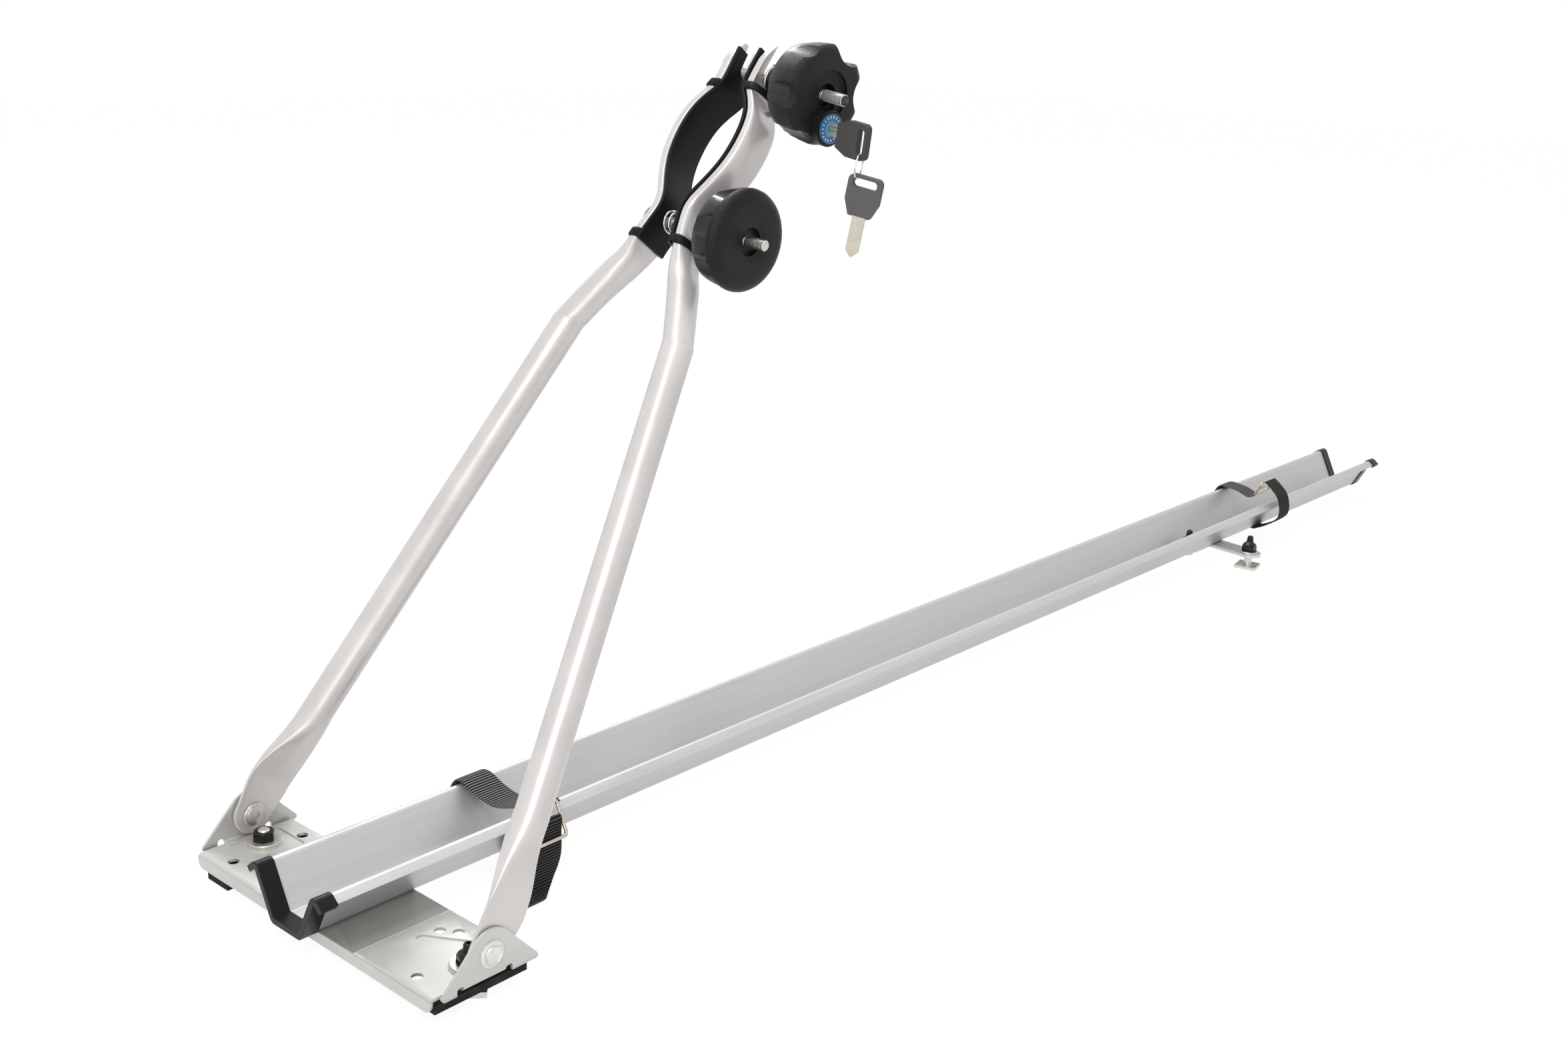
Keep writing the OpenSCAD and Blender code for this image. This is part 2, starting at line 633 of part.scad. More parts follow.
module rear_pivot_washer() {
  color([0.75, 0.74, 0.70]) translate([foot_x, rail_y, screw_low]) washer(washer_r - 2.5, shank_r + fixed_fit, 1.2);
}
module rear_pivot_nut() {
  color([0.05, 0.05, 0.05]) translate([foot_x, rail_y, rail_z + rail_t]) cap_nut(cap_nut_h);
}
rear_turn = 10;
module rear_t_bolt() {
  color([0.75, 0.74, 0.70]) translate([foot_bolt[0], foot_bolt[1], bar_top])
    t_bolt(bar_t + rear_drop, bolt_up(cap_nut_h), rear_turn, bar_t);
}
module rear_bar_washer() {
  color([0.75, 0.74, 0.70]) translate([foot_bolt[0], foot_bolt[1], bar_top])
    washer(washer_r - 2, shank_r + room, washer_t);
}
module rear_cap_nut() {
  color([0.05, 0.05, 0.05]) translate([foot_bolt[0], foot_bolt[1], bar_top + nut_seat])
    cap_nut(cap_nut_h);
}

// The arms' shape along S above the bend: each table has [rise, value] rows.
// Share of the way from the leg's axis to the start of the jaw
bend_share = [[0, 0.02], [6, 0.11], [18, 0.29], [30, 0.49], [42, 0.69], [52, 0.86], [60, 0.95], [68, 1]];
// Half distance inside the liners, as a share from the pinch to the widest
jaw_share = [[60, 0.36], [68, 0.29], [76, 0.18], [84, 0.06], [91, 0.0], [98, 0.07], [104, 0.23],
  [111, 0.44], [119, 0.66], [128, 0.85], [138, 0.965], [149, 1], [160, 0.94], [169, 0.78],
  [177, 0.51], [183, 0.24], [188, 0.06], [193, 0], [208, 0.01], [224, 0.06]];
// Depth of the section from its inner to its outer side, and its half width
depth_rows = [[0, tube_depth], [30, tube_depth], [42, 0.96*tube_depth], [52, 0.79*tube_depth],
  [60, 13], [68, 10.9], [78, 10], [90, 9.8], [150, 9.8], [176, 10.6], [190, 12.4], [200, 12.8],
  [216, 12.2], [224, 11]];
width_rows = [[0, tube_d/2], [18, tube_d/2 + 0.2], [30, tube_d/2 + 0.6], [42, tube_d/2 + 1.4],
  [52, band_half - 1.9], [60, band_half - 0.9], [68, band_half - 0.2], [76, band_half],
  [208, band_half], [216, band_half - 2], [224, band_half - 5.6]];
// Depth of the gutter pressed into the outer side, as a share of the depth
dent_rows = [[0, 0], [162, 0], [170, 0.15], [178, 0.4], [186, 0.66], [196, 0.75], [224, 0.75]];

function share_in(t, a, b, x) = a + (b - a)*smooth_at(t, x);
jaw_axis = pinch_half + (jaw_half - pinch_half)*0.29 + liner_t + 6;
function inner_above(ds) = ds < 60
  ? bend_half + (jaw_axis - bend_half)*smooth_at(bend_share, ds) - smooth_at(depth_rows, ds)/2
  : ds < 68 ? let(u = (ds - 60)/8)
    (1 - u)*(bend_half + (jaw_axis - bend_half)*smooth_at(bend_share, 60) - smooth_at(depth_rows, 60)/2)
    + u*(pinch_half + (jaw_half - pinch_half)*0.29 + liner_t)
  : pinch_half + (jaw_half - pinch_half)*smooth_at(jaw_share, ds) + liner_t;
function blend(a, b, x) = min(max((x - a)/(b - a), 0), 1);
// Shape of the section at S: inner face, depth, half width, dent, and the
// powers that square off its inner and outer sides
foot_depth = [[0, tab_t], [24, tab_t], [34, 6], [44, 10.5], [56, 16.5], [68, 20.8], [80, tube_depth]];
foot_width = [[0, tab_r], [10, tab_r + 1.2], [20, tab_r + 2.5], [32, tab_r + 2.3], [44, tab_r + 0.9],
  [58, tube_d/2 + 1.6], [70, tube_d/2 + 0.3], [80, tube_d/2]];
foot_end = 80;
function leg_axis(s) = foot_half - leg_slope*s;
function foot_out(s) = s < 24 ? tab_out
  : tab_out + (leg_axis(foot_end) + tube_depth/2 - tab_out)*blend(24, foot_end, s);
function section(s) = s < foot_end
  ? let(d = smooth_at(foot_depth, s), p = 0.3 + 0.7*blend(40, foot_end, s))
    [foot_out(s) - d, d, smooth_at(foot_width, s), 0, p, p]
  : s < leg_len ? [leg_axis(s) - tube_depth/2, tube_depth, tube_d/2, 0, 1, 1]
  : let(ds = s - leg_len)
    [inner_above(ds), smooth_at(depth_rows, ds), smooth_at(width_rows, ds), smooth_at(dent_rows, ds),
      1 - 0.78*blend(36, 66, ds), 1 - 0.06*blend(36, 66, ds)];
function lean(s, shift) = let(side = sign(shift)) s < leg_len ? side*bend_shift*blend(20, leg_len, s)
  : side*(bend_shift + (abs(shift) - bend_shift)*blend(20, 62, s - leg_len));
function power_sin(t, p) = sign(sin(t))*pow(abs(sin(t)), p);
// A ring of the arm at S, grown by g on its outside
function arm_ring(s, shift, n, g = 0) = let(c = section(s), w = c[2] + g, d = c[1] + 2*g,
    y0 = c[0] - g + lean(s, shift))
  [for (j = [0:n-1]) let(t = 360*(j + 0.5)/n, x = cos(t), v = power_sin(t, sin(t) < 0 ? c[4] : c[5]),
      k = sin(t) > 0 ? 1 - c[3]*(1 - pow(abs(x), 4)) : 1, half = 0.5 + 0.5*v)
    [w*x, y0 + d*half*k, s]];
arm_sides = 20;
bore_sides = 16;
jaw_step = 7;
outer_places = concat([0, 8, 16, 24, 31, 38, 45, 52, 59, 66, 73, 80], [leg_len - 10],
  [for (d = [0:jaw_step:224]) leg_len + d]);
bore_places = concat([64, 72, 80], [leg_len - 10], [for (d = [0:jaw_step:42]) leg_len + d]);

module arm_solid(shift) {
  difference() {
    union() {
      loft([for (s = outer_places) arm_ring(s, shift, arm_sides)]);
      translate([0, tab_out - tab_t, 0]) rotate([-90, 0, 0]) cylinder(h = tab_t, r = tab_r);
    }
    loft([for (s = bore_places) arm_ring(s, shift, bore_sides, -tube_wall)]);
    translate([0, tab_out - 20, 0]) rotate([-90, 0, 0]) cylinder(h = 30, r = rivet_r + run_fit);
  }
}
// The open slot for the upper bolt, cut down to below the bolt's axis
module upper_slot(y, reach) {
  s0 = pin_s - (pin_y - y)*tan(upper_drop);
  translate([0, y - reach/2, s0]) rotate([-90, 0, 0]) cylinder(h = reach, r = slot_w/2);
  translate([-slot_w/2, y - reach/2, s0]) cube([slot_w, reach, 60]);
}
// The hole for the lower bolt in the moving arm, drawn out upward
lower_hole_r = shank_r + 1.2;
lower_hole_rise = 3.6;
module lower_slot(y, reach) {
  s0 = lower_s - (lower_y - y)*tan(lower_drop);
  for (r = [0, lower_hole_rise]) translate([0, y - reach/2, s0 + r]) rotate([-90, 0, 0])
    cylinder(h = reach, r = lower_hole_r);
  translate([-lower_hole_r, y - reach/2, s0]) cube([2*lower_hole_r, reach, lower_hole_rise]);
}
web_y = pinch_half + liner_t + 2;
// Lengths of the cuts through one side of the jaw
hole_cut = 30;
slot_cut = 40;
near_slot_cut = 60;
module arm_left() {
  color([0.73, 0.72, 0.71]) in_arms() difference() {
    mirror([0, 1, 0]) arm_solid(-jaw_shift);
    lower_slot(jaw_shift - web_y - 2, hole_cut);
    upper_slot(jaw_shift - web_y, slot_cut);
  }
}
module arm_right() {
  color([0.73, 0.72, 0.71]) difference() {
    in_arms() difference() {
      arm_solid(jaw_shift);
      upper_slot(jaw_shift + pinch_half, near_slot_cut);
      translate([-40, pin_y, pin_s]) rotate([0, 90, 0]) cylinder(h = 80, r = pin_r + fixed_fit);
    }
    on_lower_bolt() translate([0, 0, -near_slot_cut + 20]) cylinder(h = near_slot_cut, r = shank_r + fixed_fit);
  }
}

// The liners: plastic bands inside the jaw, with clips round the arms
liner_half = band_half + 0.5;
liner_rows = [for (d = [63:jaw_step:217]) d];
function liner_side(d, shift, t) = [for (k = d) [inner_above(k) - t + shift, leg_len + k]];
clip_t = 1.7;
clip_gap = 0.15;
// The points of a ring on its outer side, its flanks and its inner corners
function open_ring(ring) = let(n = len(ring)) [for (j = [-3:n/2 + 2]) ring[(j + n)%n]];
module clip(d0, d1, shift) {
  function at(d, g) = open_ring(arm_ring(leg_len + d, shift, arm_sides, g));
  loft([for (d = [d0, d1]) concat(at(d, clip_t), flip(at(d, clip_gap)))]);
}
module liner_solid(shift) {
  translate([-liner_half, 0, 0]) rotate([90, 0, 90]) linear_extrude(2*liner_half)
    polygon(concat(liner_side(liner_rows, shift, liner_t), flip(liner_side(liner_rows, shift, 0))));
  clip(64.4, 69.3, shift);
  clip(184.8, 189.6, shift);
}
module jaw_liner_left() {
  color([0.06, 0.06, 0.06]) in_arms() difference() {
    mirror([0, 1, 0]) liner_solid(-jaw_shift);
    lower_slot(jaw_shift - web_y, hole_cut);
    upper_slot(jaw_shift - web_y, slot_cut);
  }
}
module jaw_liner_right() {
  color([0.06, 0.06, 0.06]) difference() {
    in_arms() difference() {
      liner_solid(jaw_shift);
      upper_slot(jaw_shift + pinch_half, near_slot_cut);
    }
    on_lower_bolt() translate([0, 0, -near_slot_cut + 20]) cylinder(h = near_slot_cut, r = shank_r + fixed_fit);
  }
}

// Places along the lower bolt, measured from its frame toward the knob
head_seat = -(jaw_shift + pinch_half + 0.1*(jaw_half - pinch_half) + liner_t + 10.5 - lower_y) - 1.5;
left_face = lower_y - jaw_shift + pinch_half + 0.1*(jaw_half - pinch_half) + liner_t + 10.8;
lower_washer_u = left_face + 2.4;
lower_washer_r = 9.5;
lower_hub_r = 11;
lower_hub_u = lower_washer_u + 2.1;
lower_back_u = lower_hub_u + lower_neck;
lower_face_u = lower_back_u + lower_knob_t;
lower_end_u = lower_face_u + bolt_show;
module lower_bolt() {
  color([0.76, 0.75, 0.72]) on_lower_bolt() {
    translate([0, 0, head_seat - 4]) rotate_extrude() polygon(concat([[0, 0]],
      [for (a = [0:15:90]) [3 + 6*sin(a), 4 - 4*cos(a)]], [[0, 4]]));
    translate([0, 0, head_seat - 0.1]) threaded_rod(lower_end_u - head_seat + 0.1, 12);
  }
}
module lower_washer() {
  color([0.75, 0.74, 0.70]) on_lower_bolt() translate([0, 0, lower_washer_u])
    washer(lower_washer_r, shank_r + run_fit, 2);
}
// The spring between the liners: one conical coil of round wire
spring_u0 = lower_y - jaw_shift - pinch_half - 0.1*(jaw_half - pinch_half) + 0.7;
spring_u1 = lower_y - jaw_shift + pinch_half + 0.1*(jaw_half - pinch_half) - 0.7;
spring_small_r = shank_r + run_fit + spring_wire_r + 0.6;
spring_steps = 8;
spring_n = spring_curls*spring_steps;
function spring_point(i) = let(u = i/spring_n, r = spring_r + (spring_small_r - spring_r)*u,
    a = 360*i/spring_steps)
  [r*cos(a), r*sin(a), spring_u0 + spring_wire_r + (spring_u1 - spring_u0 - 2*spring_wire_r)*u];
function spring_line() = let(p = [for (i = [0:spring_n]) spring_point(i)],
    a = unit([p[0][1], -p[0][0], 0]), b = unit([-p[spring_n][1], p[spring_n][0], 0]))
  concat([p[0] + a*2*spring_wire_r], p, [p[spring_n] + b*2*spring_wire_r]);
function tube_ring(p, i, r, n) = let(m = len(p)-1, t = unit(p[min(i+1, m)] - p[max(i-1, 0)]),
    c = unit([p[i][0], p[i][1], 0]), e = unit(c - (c*t)*t), f = cross(t, e))
  [for (j = [0:n-1]) p[i] + r*(cos(360*j/n)*e + sin(360*j/n)*f)];
spring_pts = spring_line();
spring_gap = min([for (i = [0:spring_n - spring_steps])
  for (j = [i + spring_steps - 2:min(i + spring_steps + 2, spring_n)])
    norm(spring_point(i) - spring_point(j))]) - 2*spring_wire_r;
echo(least_gap_between_spring_curls = spring_gap);
module lower_spring() {
  color([0.80, 0.80, 0.80]) on_lower_bolt()
    loft([for (i = [0:len(spring_pts)-1]) tube_ring(spring_pts, i, spring_wire_r, 6)]);
}

// The lower knob: a domed hand wheel with scoops rising from its back rim
scoops = 8;
scoop_r = 10;
scoop_out = 6.3;
module lower_knob() {
  t = lower_knob_t;
  r = lower_knob_r;
  face = [for (a = [0:15:90]) [r - 9 + 9*cos(a), t - 7.5 + 6.9*sin(a)]];
  color([0.06, 0.06, 0.06]) on_lower_bolt() difference() {
    translate([0, 0, lower_back_u]) union() {
      rotate_extrude() polygon(concat([[0, 0], [r - 5, 0], [r - 3, 1.4], [r - 0.7, t*0.5]],
        face, [[13, t], [11, t - 0.8], [0, t - 0.8]]));
      translate([0, 0, -lower_neck]) cylinder(h = lower_neck + 1, r = lower_hub_r);
    }
    translate([0, 0, lower_face_u - 4]) rotate_extrude() polygon([[0, 0], [9, 0], [10, 7], [0, 7]]);
    translate([0, 0, lower_hub_u - 1]) cylinder(h = lower_neck + lower_knob_t + 4, r = shank_r + 3);
    for (i = [0:scoops-1]) rotate([0, 0, 360*(i + 0.35)/scoops]) translate([r + scoop_out, 0, lower_back_u + 1])
      rotate([0, -9, 0]) translate([0, 0, -6]) cylinder(h = t*0.7 + 5, r = scoop_r);
  }
}
module lower_knob_insert() {
  color([0.76, 0.70, 0.48]) on_lower_bolt() translate([0, 0, lower_hub_u]) difference() {
    cylinder(h = lower_neck + lower_knob_t - 4.4, r = shank_r + 3);
    translate([0, 0, -1]) cylinder(h = lower_neck + lower_knob_t, r = shank_r + run_fit);
  }
}

// Places along the upper bolt, measured from its pin toward the knob
eye_r = 5;
eye_w = slot_w - 0.6;
neck_u = 41.3;
upper_hub_u = neck_u + 2.1;
upper_back_u = upper_hub_u + upper_neck;
upper_face_u = upper_back_u + upper_knob_t;
upper_end_u = upper_face_u + bolt_show + 3;
recess_t = 8.8;
dish_t = 1.6;
module upper_bolt() {
  color([0.76, 0.75, 0.72]) on_upper_bolt() difference() {
    union() {
      threaded_rod(upper_end_u, 14);
      translate([-eye_w/2, 0, 0]) rotate([0, 90, 0]) cylinder(h = eye_w, r = eye_r);
    }
    translate([-eye_w, 0, 0]) rotate([0, 90, 0]) cylinder(h = 2*eye_w, r = pin_r + run_fit);
  }
}
pin_half = 11;
module upper_bolt_pin() {
  color([0.75, 0.74, 0.70]) in_arms() translate([-pin_half, pin_y, pin_s]) rotate([0, 90, 0])
    cylinder(h = 2*pin_half, r = pin_r);
}
module upper_washer() {
  color([0.75, 0.74, 0.70]) on_upper_bolt() translate([0, 0, neck_u]) washer(10.5, shank_r + run_fit, 2);
}
// The upper knob: a deep lobed hand wheel whose face has a drop-shaped recess
// Each valley between two lobes: its turn from the lock's side, how far it
// cuts below the rim, and the radius of its round bottom
valleys = [[30, 5, 14], [90, 9.5, 15], [150, 9, 17], [210, 2.6, 14], [270, 4, 14], [330, 5, 14]];
housing_r = lock_r + 2.2;
// The face's round dish, the hole round the bolt and the trench to the lock
dish_r = 17.5;
recess_r = 8;
trench_t = dish_t + 2.4;
module upper_knob() {
  t = upper_knob_t;
  r = upper_knob_r;
  color([0.06, 0.06, 0.06]) on_upper_bolt() difference() {
    union() {
      translate([0, 0, upper_back_u]) difference() {
        rotate_extrude() polygon(concat([[0, 0], [r - 6, 0], [r - 3.5, 1.5], [r - 0.8, t*0.5]],
          [for (a = [0:15:90]) [r - 7 + 7*cos(a), t - 5.5 + 5.5*sin(a)]], [[0, t]]));
        for (v = valleys) rotate([0, 0, tilt - 90 + v[0]]) translate([r - v[1] + v[2], 0, -1])
          cylinder(h = t + 2, r = v[2]);
      }
      translate([0, 0, upper_hub_u]) cylinder(h = upper_neck + 1, r = 10);
      rotate([0, 0, tilt - 90]) translate([lock_down, 0, upper_back_u + 4])
        cylinder(h = lock_face_u - 1.4 - upper_back_u - 4, r = housing_r);
    }
    difference() {
      union() {
        translate([0, 0, upper_face_u - dish_t]) cylinder(h = dish_t + 8, r = dish_r);
        translate([0, 0, upper_face_u - recess_t]) cylinder(h = recess_t + 8, r = recess_r);
        translate([0, 0, upper_face_u - trench_t]) rotate([0, 0, tilt - 90])
          translate([0, -recess_r, 0]) cube([lock_down, 2*recess_r, trench_t + 8]);
      }
      rotate([0, 0, tilt - 90]) translate([lock_down, 0, 0]) cylinder(h = upper_face_u + 12, r = housing_r);
    }
    translate([0, 0, upper_hub_u - 1]) cylinder(h = upper_neck + t + 4, r = shank_r + 3);
    rotate([0, 0, tilt - 90]) translate([lock_down, 0, barrel_u]) cylinder(h = t, r = lock_r + fixed_fit);
  }
}
module upper_knob_insert() {
  color([0.76, 0.70, 0.48]) on_upper_bolt() translate([0, 0, upper_hub_u]) difference() {
    cylinder(h = upper_neck + upper_knob_t - recess_t, r = shank_r + 3);
    translate([0, 0, -1]) cylinder(h = upper_neck + upper_knob_t, r = shank_r + run_fit);
  }
}

// The lock, its key and the spare key on its ring
lock_face_u = upper_face_u + 7;
barrel_u = lock_face_u - 29;
module lock_barrel() {
  color([0.10, 0.20, 0.42]) on_lock() difference() {
    translate([0, 0, barrel_u]) cylinder(h = lock_face_u - barrel_u, r = lock_r);
    translate([0, 0, barrel_u + 3]) cylinder(h = 60, r = plug_r + run_fit);
    translate([0, 0, lock_face_u - 0.5]) difference() {
      cylinder(h = 1, r = lock_r - 1);
      cylinder(h = 3, r = plug_r + 0.8, center = true);
    }
  }
}
key_u0 = lock_face_u - 21;
module lock_plug() {
  color([0.16, 0.33, 0.62]) on_lock() difference() {
    translate([0, 0, barrel_u + 3.2]) cylinder(h = lock_face_u - 0.4 - barrel_u - 3.2, r = plug_r);
    translate([-blade_w/2 - fixed_fit, -blade_t/2 - fixed_fit, key_u0])
      cube([blade_w + 2*fixed_fit, blade_t + 2*fixed_fit, 30]);
  }
}
key_show = 7;
key_head_u = lock_face_u + key_show;
// Outline of a key's head in (across, along): narrow at the blade
function head_points() = [[-head_h*0.32, 0], [head_h*0.32, 0], [head_h*0.5, head_len*0.38],
  [head_h*0.5, head_len], [-head_h*0.5, head_len], [-head_h*0.5, head_len*0.38]];
blade_in = 8.5;
module blade_solid() {
  l = 36;
  translate([0, 0, blade_in]) rotate([-90, 0, 0]) translate([0, 0, -blade_t/2]) linear_extrude(blade_t)
    polygon([[-blade_w/2, 0], [blade_w/2, 0], [blade_w/2, l - 4], [blade_w*0.1, l],
      [-blade_w*0.1, l], [-blade_w/2, l - 4]]);
}
slot_len = head_h*0.72;
slot_out = 22.4;
head_drop = 2.4;
cheek_w = blade_w + 0.8;
// A key's head, its blade at x of blade_x
module key_head_solid(blade_x) {
  translate([0, head_t/2, 0]) rotate([90, 0, 0]) linear_extrude(head_t) difference() {
    polygon(rounded(head_points(), [1, 1, 4, 4, 4, 4]));
    polygon(rounded([[-slot_len/2, slot_out - 3], [slot_len/2, slot_out - 3],
      [slot_len/2, slot_out + 3], [-slot_len/2, slot_out + 3]], [2.6, 2.6, 2.6, 2.6]));
    translate([blade_x - blade_w/2 - fixed_fit, -1]) square([blade_w + 2*fixed_fit, 10]);
  }
  for (s = [-1, 1])
    translate([blade_x - cheek_w/2, s > 0 ? blade_t/2 + fixed_fit : -head_t/2, 0.4])
      cube([cheek_w, head_t/2 - blade_t/2 - fixed_fit, 9]);
}
module key_blade() {
  color([0.78, 0.74, 0.62]) on_lock() translate([0, 0, key_head_u]) blade_solid();
}
module key_head() {
  color([0.20, 0.19, 0.19]) on_lock() translate([head_drop, 0, key_head_u])
    key_head_solid(-head_drop);
}

// The ring hangs from the lower end of the key's slot; the spare key hangs
// from the ring by one end of its slot, its blade swung toward the carrier
ring_x = slot_len/2 + ring_r - ring_wire_r - 1.1;
ring_turn = -28;
spare_turn = -24;
spare_lean = 4;
spare_hold = 1.9;
module key_ring() {
  color([0.78, 0.78, 0.76]) on_lock() translate([head_drop + ring_x, 0, key_head_u + slot_out])
    rotate([ring_turn, 0, 0]) rotate_extrude() translate([ring_r, 0]) circle(r = ring_wire_r, $fn = 16);
}
module on_spare() {
  on_lock() translate([head_drop + ring_x + ring_r, 0, key_head_u + slot_out])
    rotate([spare_turn, 0, 0]) rotate([0, spare_lean - 90, 0])
      translate([slot_len/2 - spare_hold, 0, ring_wire_r + 0.8 - slot_out - 3]) children();
}
module spare_key_blade() {
  color([0.78, 0.74, 0.62]) on_spare() blade_solid();
}
module spare_key_head() {
  color([0.20, 0.19, 0.19]) on_spare() key_head_solid(0);
}

// A webbing strap along a path of [y, z, x] points, square to X
function strap_ring(p, i, x0) = let(q = [for (a = p) [a[0], a[1]]], n = path_normal(q, i)*strap_t/2,
    c = q[i], x = x0 + p[i][2])
  [[x - strap_w/2, c[0] - n[0], c[1] - n[1]], [x + strap_w/2, c[0] - n[0], c[1] - n[1]],
   [x + strap_w/2, c[0] + n[0], c[1] + n[1]], [x - strap_w/2, c[0] + n[0], c[1] + n[1]]];
module strap(p, x0) {
  loft([for (i = [0:len(p)-1]) strap_ring(p, i, x0)]);
}
strap_off = strap_t/2 + room;
// Points that hug the rail, tied to its section
under_z = rail_z - strap_off;
near_floor = rail_y - floor_half;
far_floor = rail_y + floor_half;
near_lip = rail_y - lip_half;
far_lip = rail_y + lip_half;
near_top = rail_y - wall_half;
far_top = rail_y + wall_half;
front_path = [
  [near_lip - 3.4, rail_top + 3.2, 3], [near_lip + 1.5, rail_top + 4.4, 3],
  [near_top, rail_top + 3.6, 3], [near_top + 6, rail_top + 0.6, 3],
  [near_top + 17, rail_top - 3.8, 2.6], [rail_y - 2, rail_top - 6.6, 2],
  [rail_y + 13, rail_top - 4, 1], [far_top - 7, rail_top + 0.4, 0.4],
  [far_top - 1, rail_top + 1.7, 0], [far_top + 4, rail_top + 0.4, 0],
  [far_lip + 0.9, rail_top - 4.2, 0], [far_lip + 1.6, lip_z - 1, 0],
  [far_lip - 3.4, lip_z - 9, 0], [far_floor + 6.4, under_z + 5.2, 0],
  [far_floor + 2.4, under_z + 1, 0], [far_floor - 1.8, under_z, 0],
  [near_floor + 2, under_z, 0], [near_floor - 3, under_z + 0.9, -1],
  [near_lip + 5.2, rail_z + 7.4, -2], [near_lip - 4.4, rail_z + 16.4, -3],
  [near_lip - 7.6, rail_z + 23.6, -4], [near_lip - 8.2, rail_z + 30.2, -4],
  [near_lip - 10.6, rail_z + 32.6, -4], [near_lip - 13, rail_z + 30.6, -4.4],
  [near_lip - 13.2, rail_z + 22, -5], [near_lip - 13.8, rail_z + 13, -5.4],
  [near_lip - 13.6, rail_z + 4.5, -6], [near_lip - 13, rail_z - 3.5, -8.4],
  [near_lip - 13.4, rail_z - 9, -12], [near_lip - 16.2, rail_z - 12.4, -17],
  [near_lip - 20.5, rail_z - 13.7, -23], [near_lip - 25.5, rail_z - 13.9, -29]];
rear_path = [
  [near_top + 19, rail_top + 1.6, 0], [rail_y - 4, rail_top - 1.6, 2],
  [rail_y + 10, rail_top + 1.4, 5], [far_top - 8, rail_top + 2.4, 7.5],
  [far_top - 1, rail_top + 2.4, 9], [far_top + 4, rail_top + 0.8, 9.6],
  [far_lip + 0.9, rail_top - 4.2, 9.8], [far_lip + 1.6, lip_z - 1, 9.8],
  [far_lip - 3.4, lip_z - 9, 9], [far_floor + 6.4, under_z + 5.2, 8],
  [far_floor + 2.4, under_z + 1, 7], [far_floor - 1.8, under_z, 6],
  [near_floor + 2, under_z, 2], [near_floor - 3, under_z + 0.9, 1],
  [near_lip + 8, rail_z + 6.4, 0], [near_lip - 3.2, rail_z + 15, 0],
  [near_lip - 6.4, rail_z + 22, 0], [near_lip - 5.6, rail_z + 31, 0],
  [near_lip - 1.6, rail_z + 41, 0], [near_top + 0.5, rail_z + 49.6, 0],
  [near_top + 7.4, rail_z + 54.4, 0]];
module front_strap() {
  color([0.05, 0.05, 0.05]) strap(front_path, strap_x1);
}
module rear_strap() {
  color([0.05, 0.05, 0.05]) strap(rear_path, strap_x2);
}

// A buckle: three bars at [y, z] points joined by slimmer rods at both ends
module rod(a, b, r) {
  d = b - a;
  translate(a) rotate([0, acos(d[2]/norm(d)), atan2(d[1], d[0])]) cylinder(h = norm(d), r = r, $fn = 24);
}
rod_r = wire_r - 0.15;
module buckle(points, x) {
  hw = strap_w/2 + wire_r + 0.8;
  for (p = points) rod([x - hw - wire_r, p[0], p[1]], [x + hw + wire_r, p[0], p[1]], wire_r);
  for (i = [0, 1]) for (s = [-1, 1])
    rod([x + s*hw, points[i][0], points[i][1]], [x + s*hw, points[i+1][0], points[i+1][1]], rod_r);
}
module front_buckle() {
  color([0.70, 0.60, 0.45]) buckle([[near_lip - 5.4, rail_top + 6.2], [near_lip - 10.6, rail_z + 29.4],
    [near_lip - 16.2, rail_z + 19.2]], strap_x1 - 4.7);
}
module rear_buckle() {
  color([0.70, 0.60, 0.45]) buckle([[near_top + 16.5, rail_top + 4], [near_top + 12.4, rail_top + 12],
    [near_top + 9.4, rail_top + 19.2]], strap_x2);
}

base_plate();
pad_left();
pad_right();
front_t_bolt_left();
front_t_bolt_right();
front_washers();
front_cap_nut_left();
front_cap_nut_right();
pivot_rivet_left();
pivot_rivet_right();
pivot_washers();
rail();
rail_screws();
rail_nuts();
front_end_cap();
rear_end_cap();
rear_bar();
rear_pivot_screw();
rear_pivot_nut();
rear_pivot_washer();
rear_t_bolt();
rear_bar_washer();
rear_cap_nut();
arm_left();
arm_right();
jaw_liner_left();
jaw_liner_right();
lower_bolt();
lower_spring();
lower_washer();
lower_knob();
lower_knob_insert();
upper_bolt();
upper_bolt_pin();
upper_washer();
upper_knob();
upper_knob_insert();
lock_barrel();
lock_plug();
key_blade();
key_head();
key_ring();
spare_key_blade();
spare_key_head();
front_strap();
front_buckle();
rear_strap();
rear_buckle();
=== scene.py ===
"""Looks of a roof mounted bicycle carrier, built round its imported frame.

Lengths in the shape tables are millimetres in the part's own frame: X runs
rearward along the wheel rail, Y to the right, Z up. Meshes are in metres.
"""

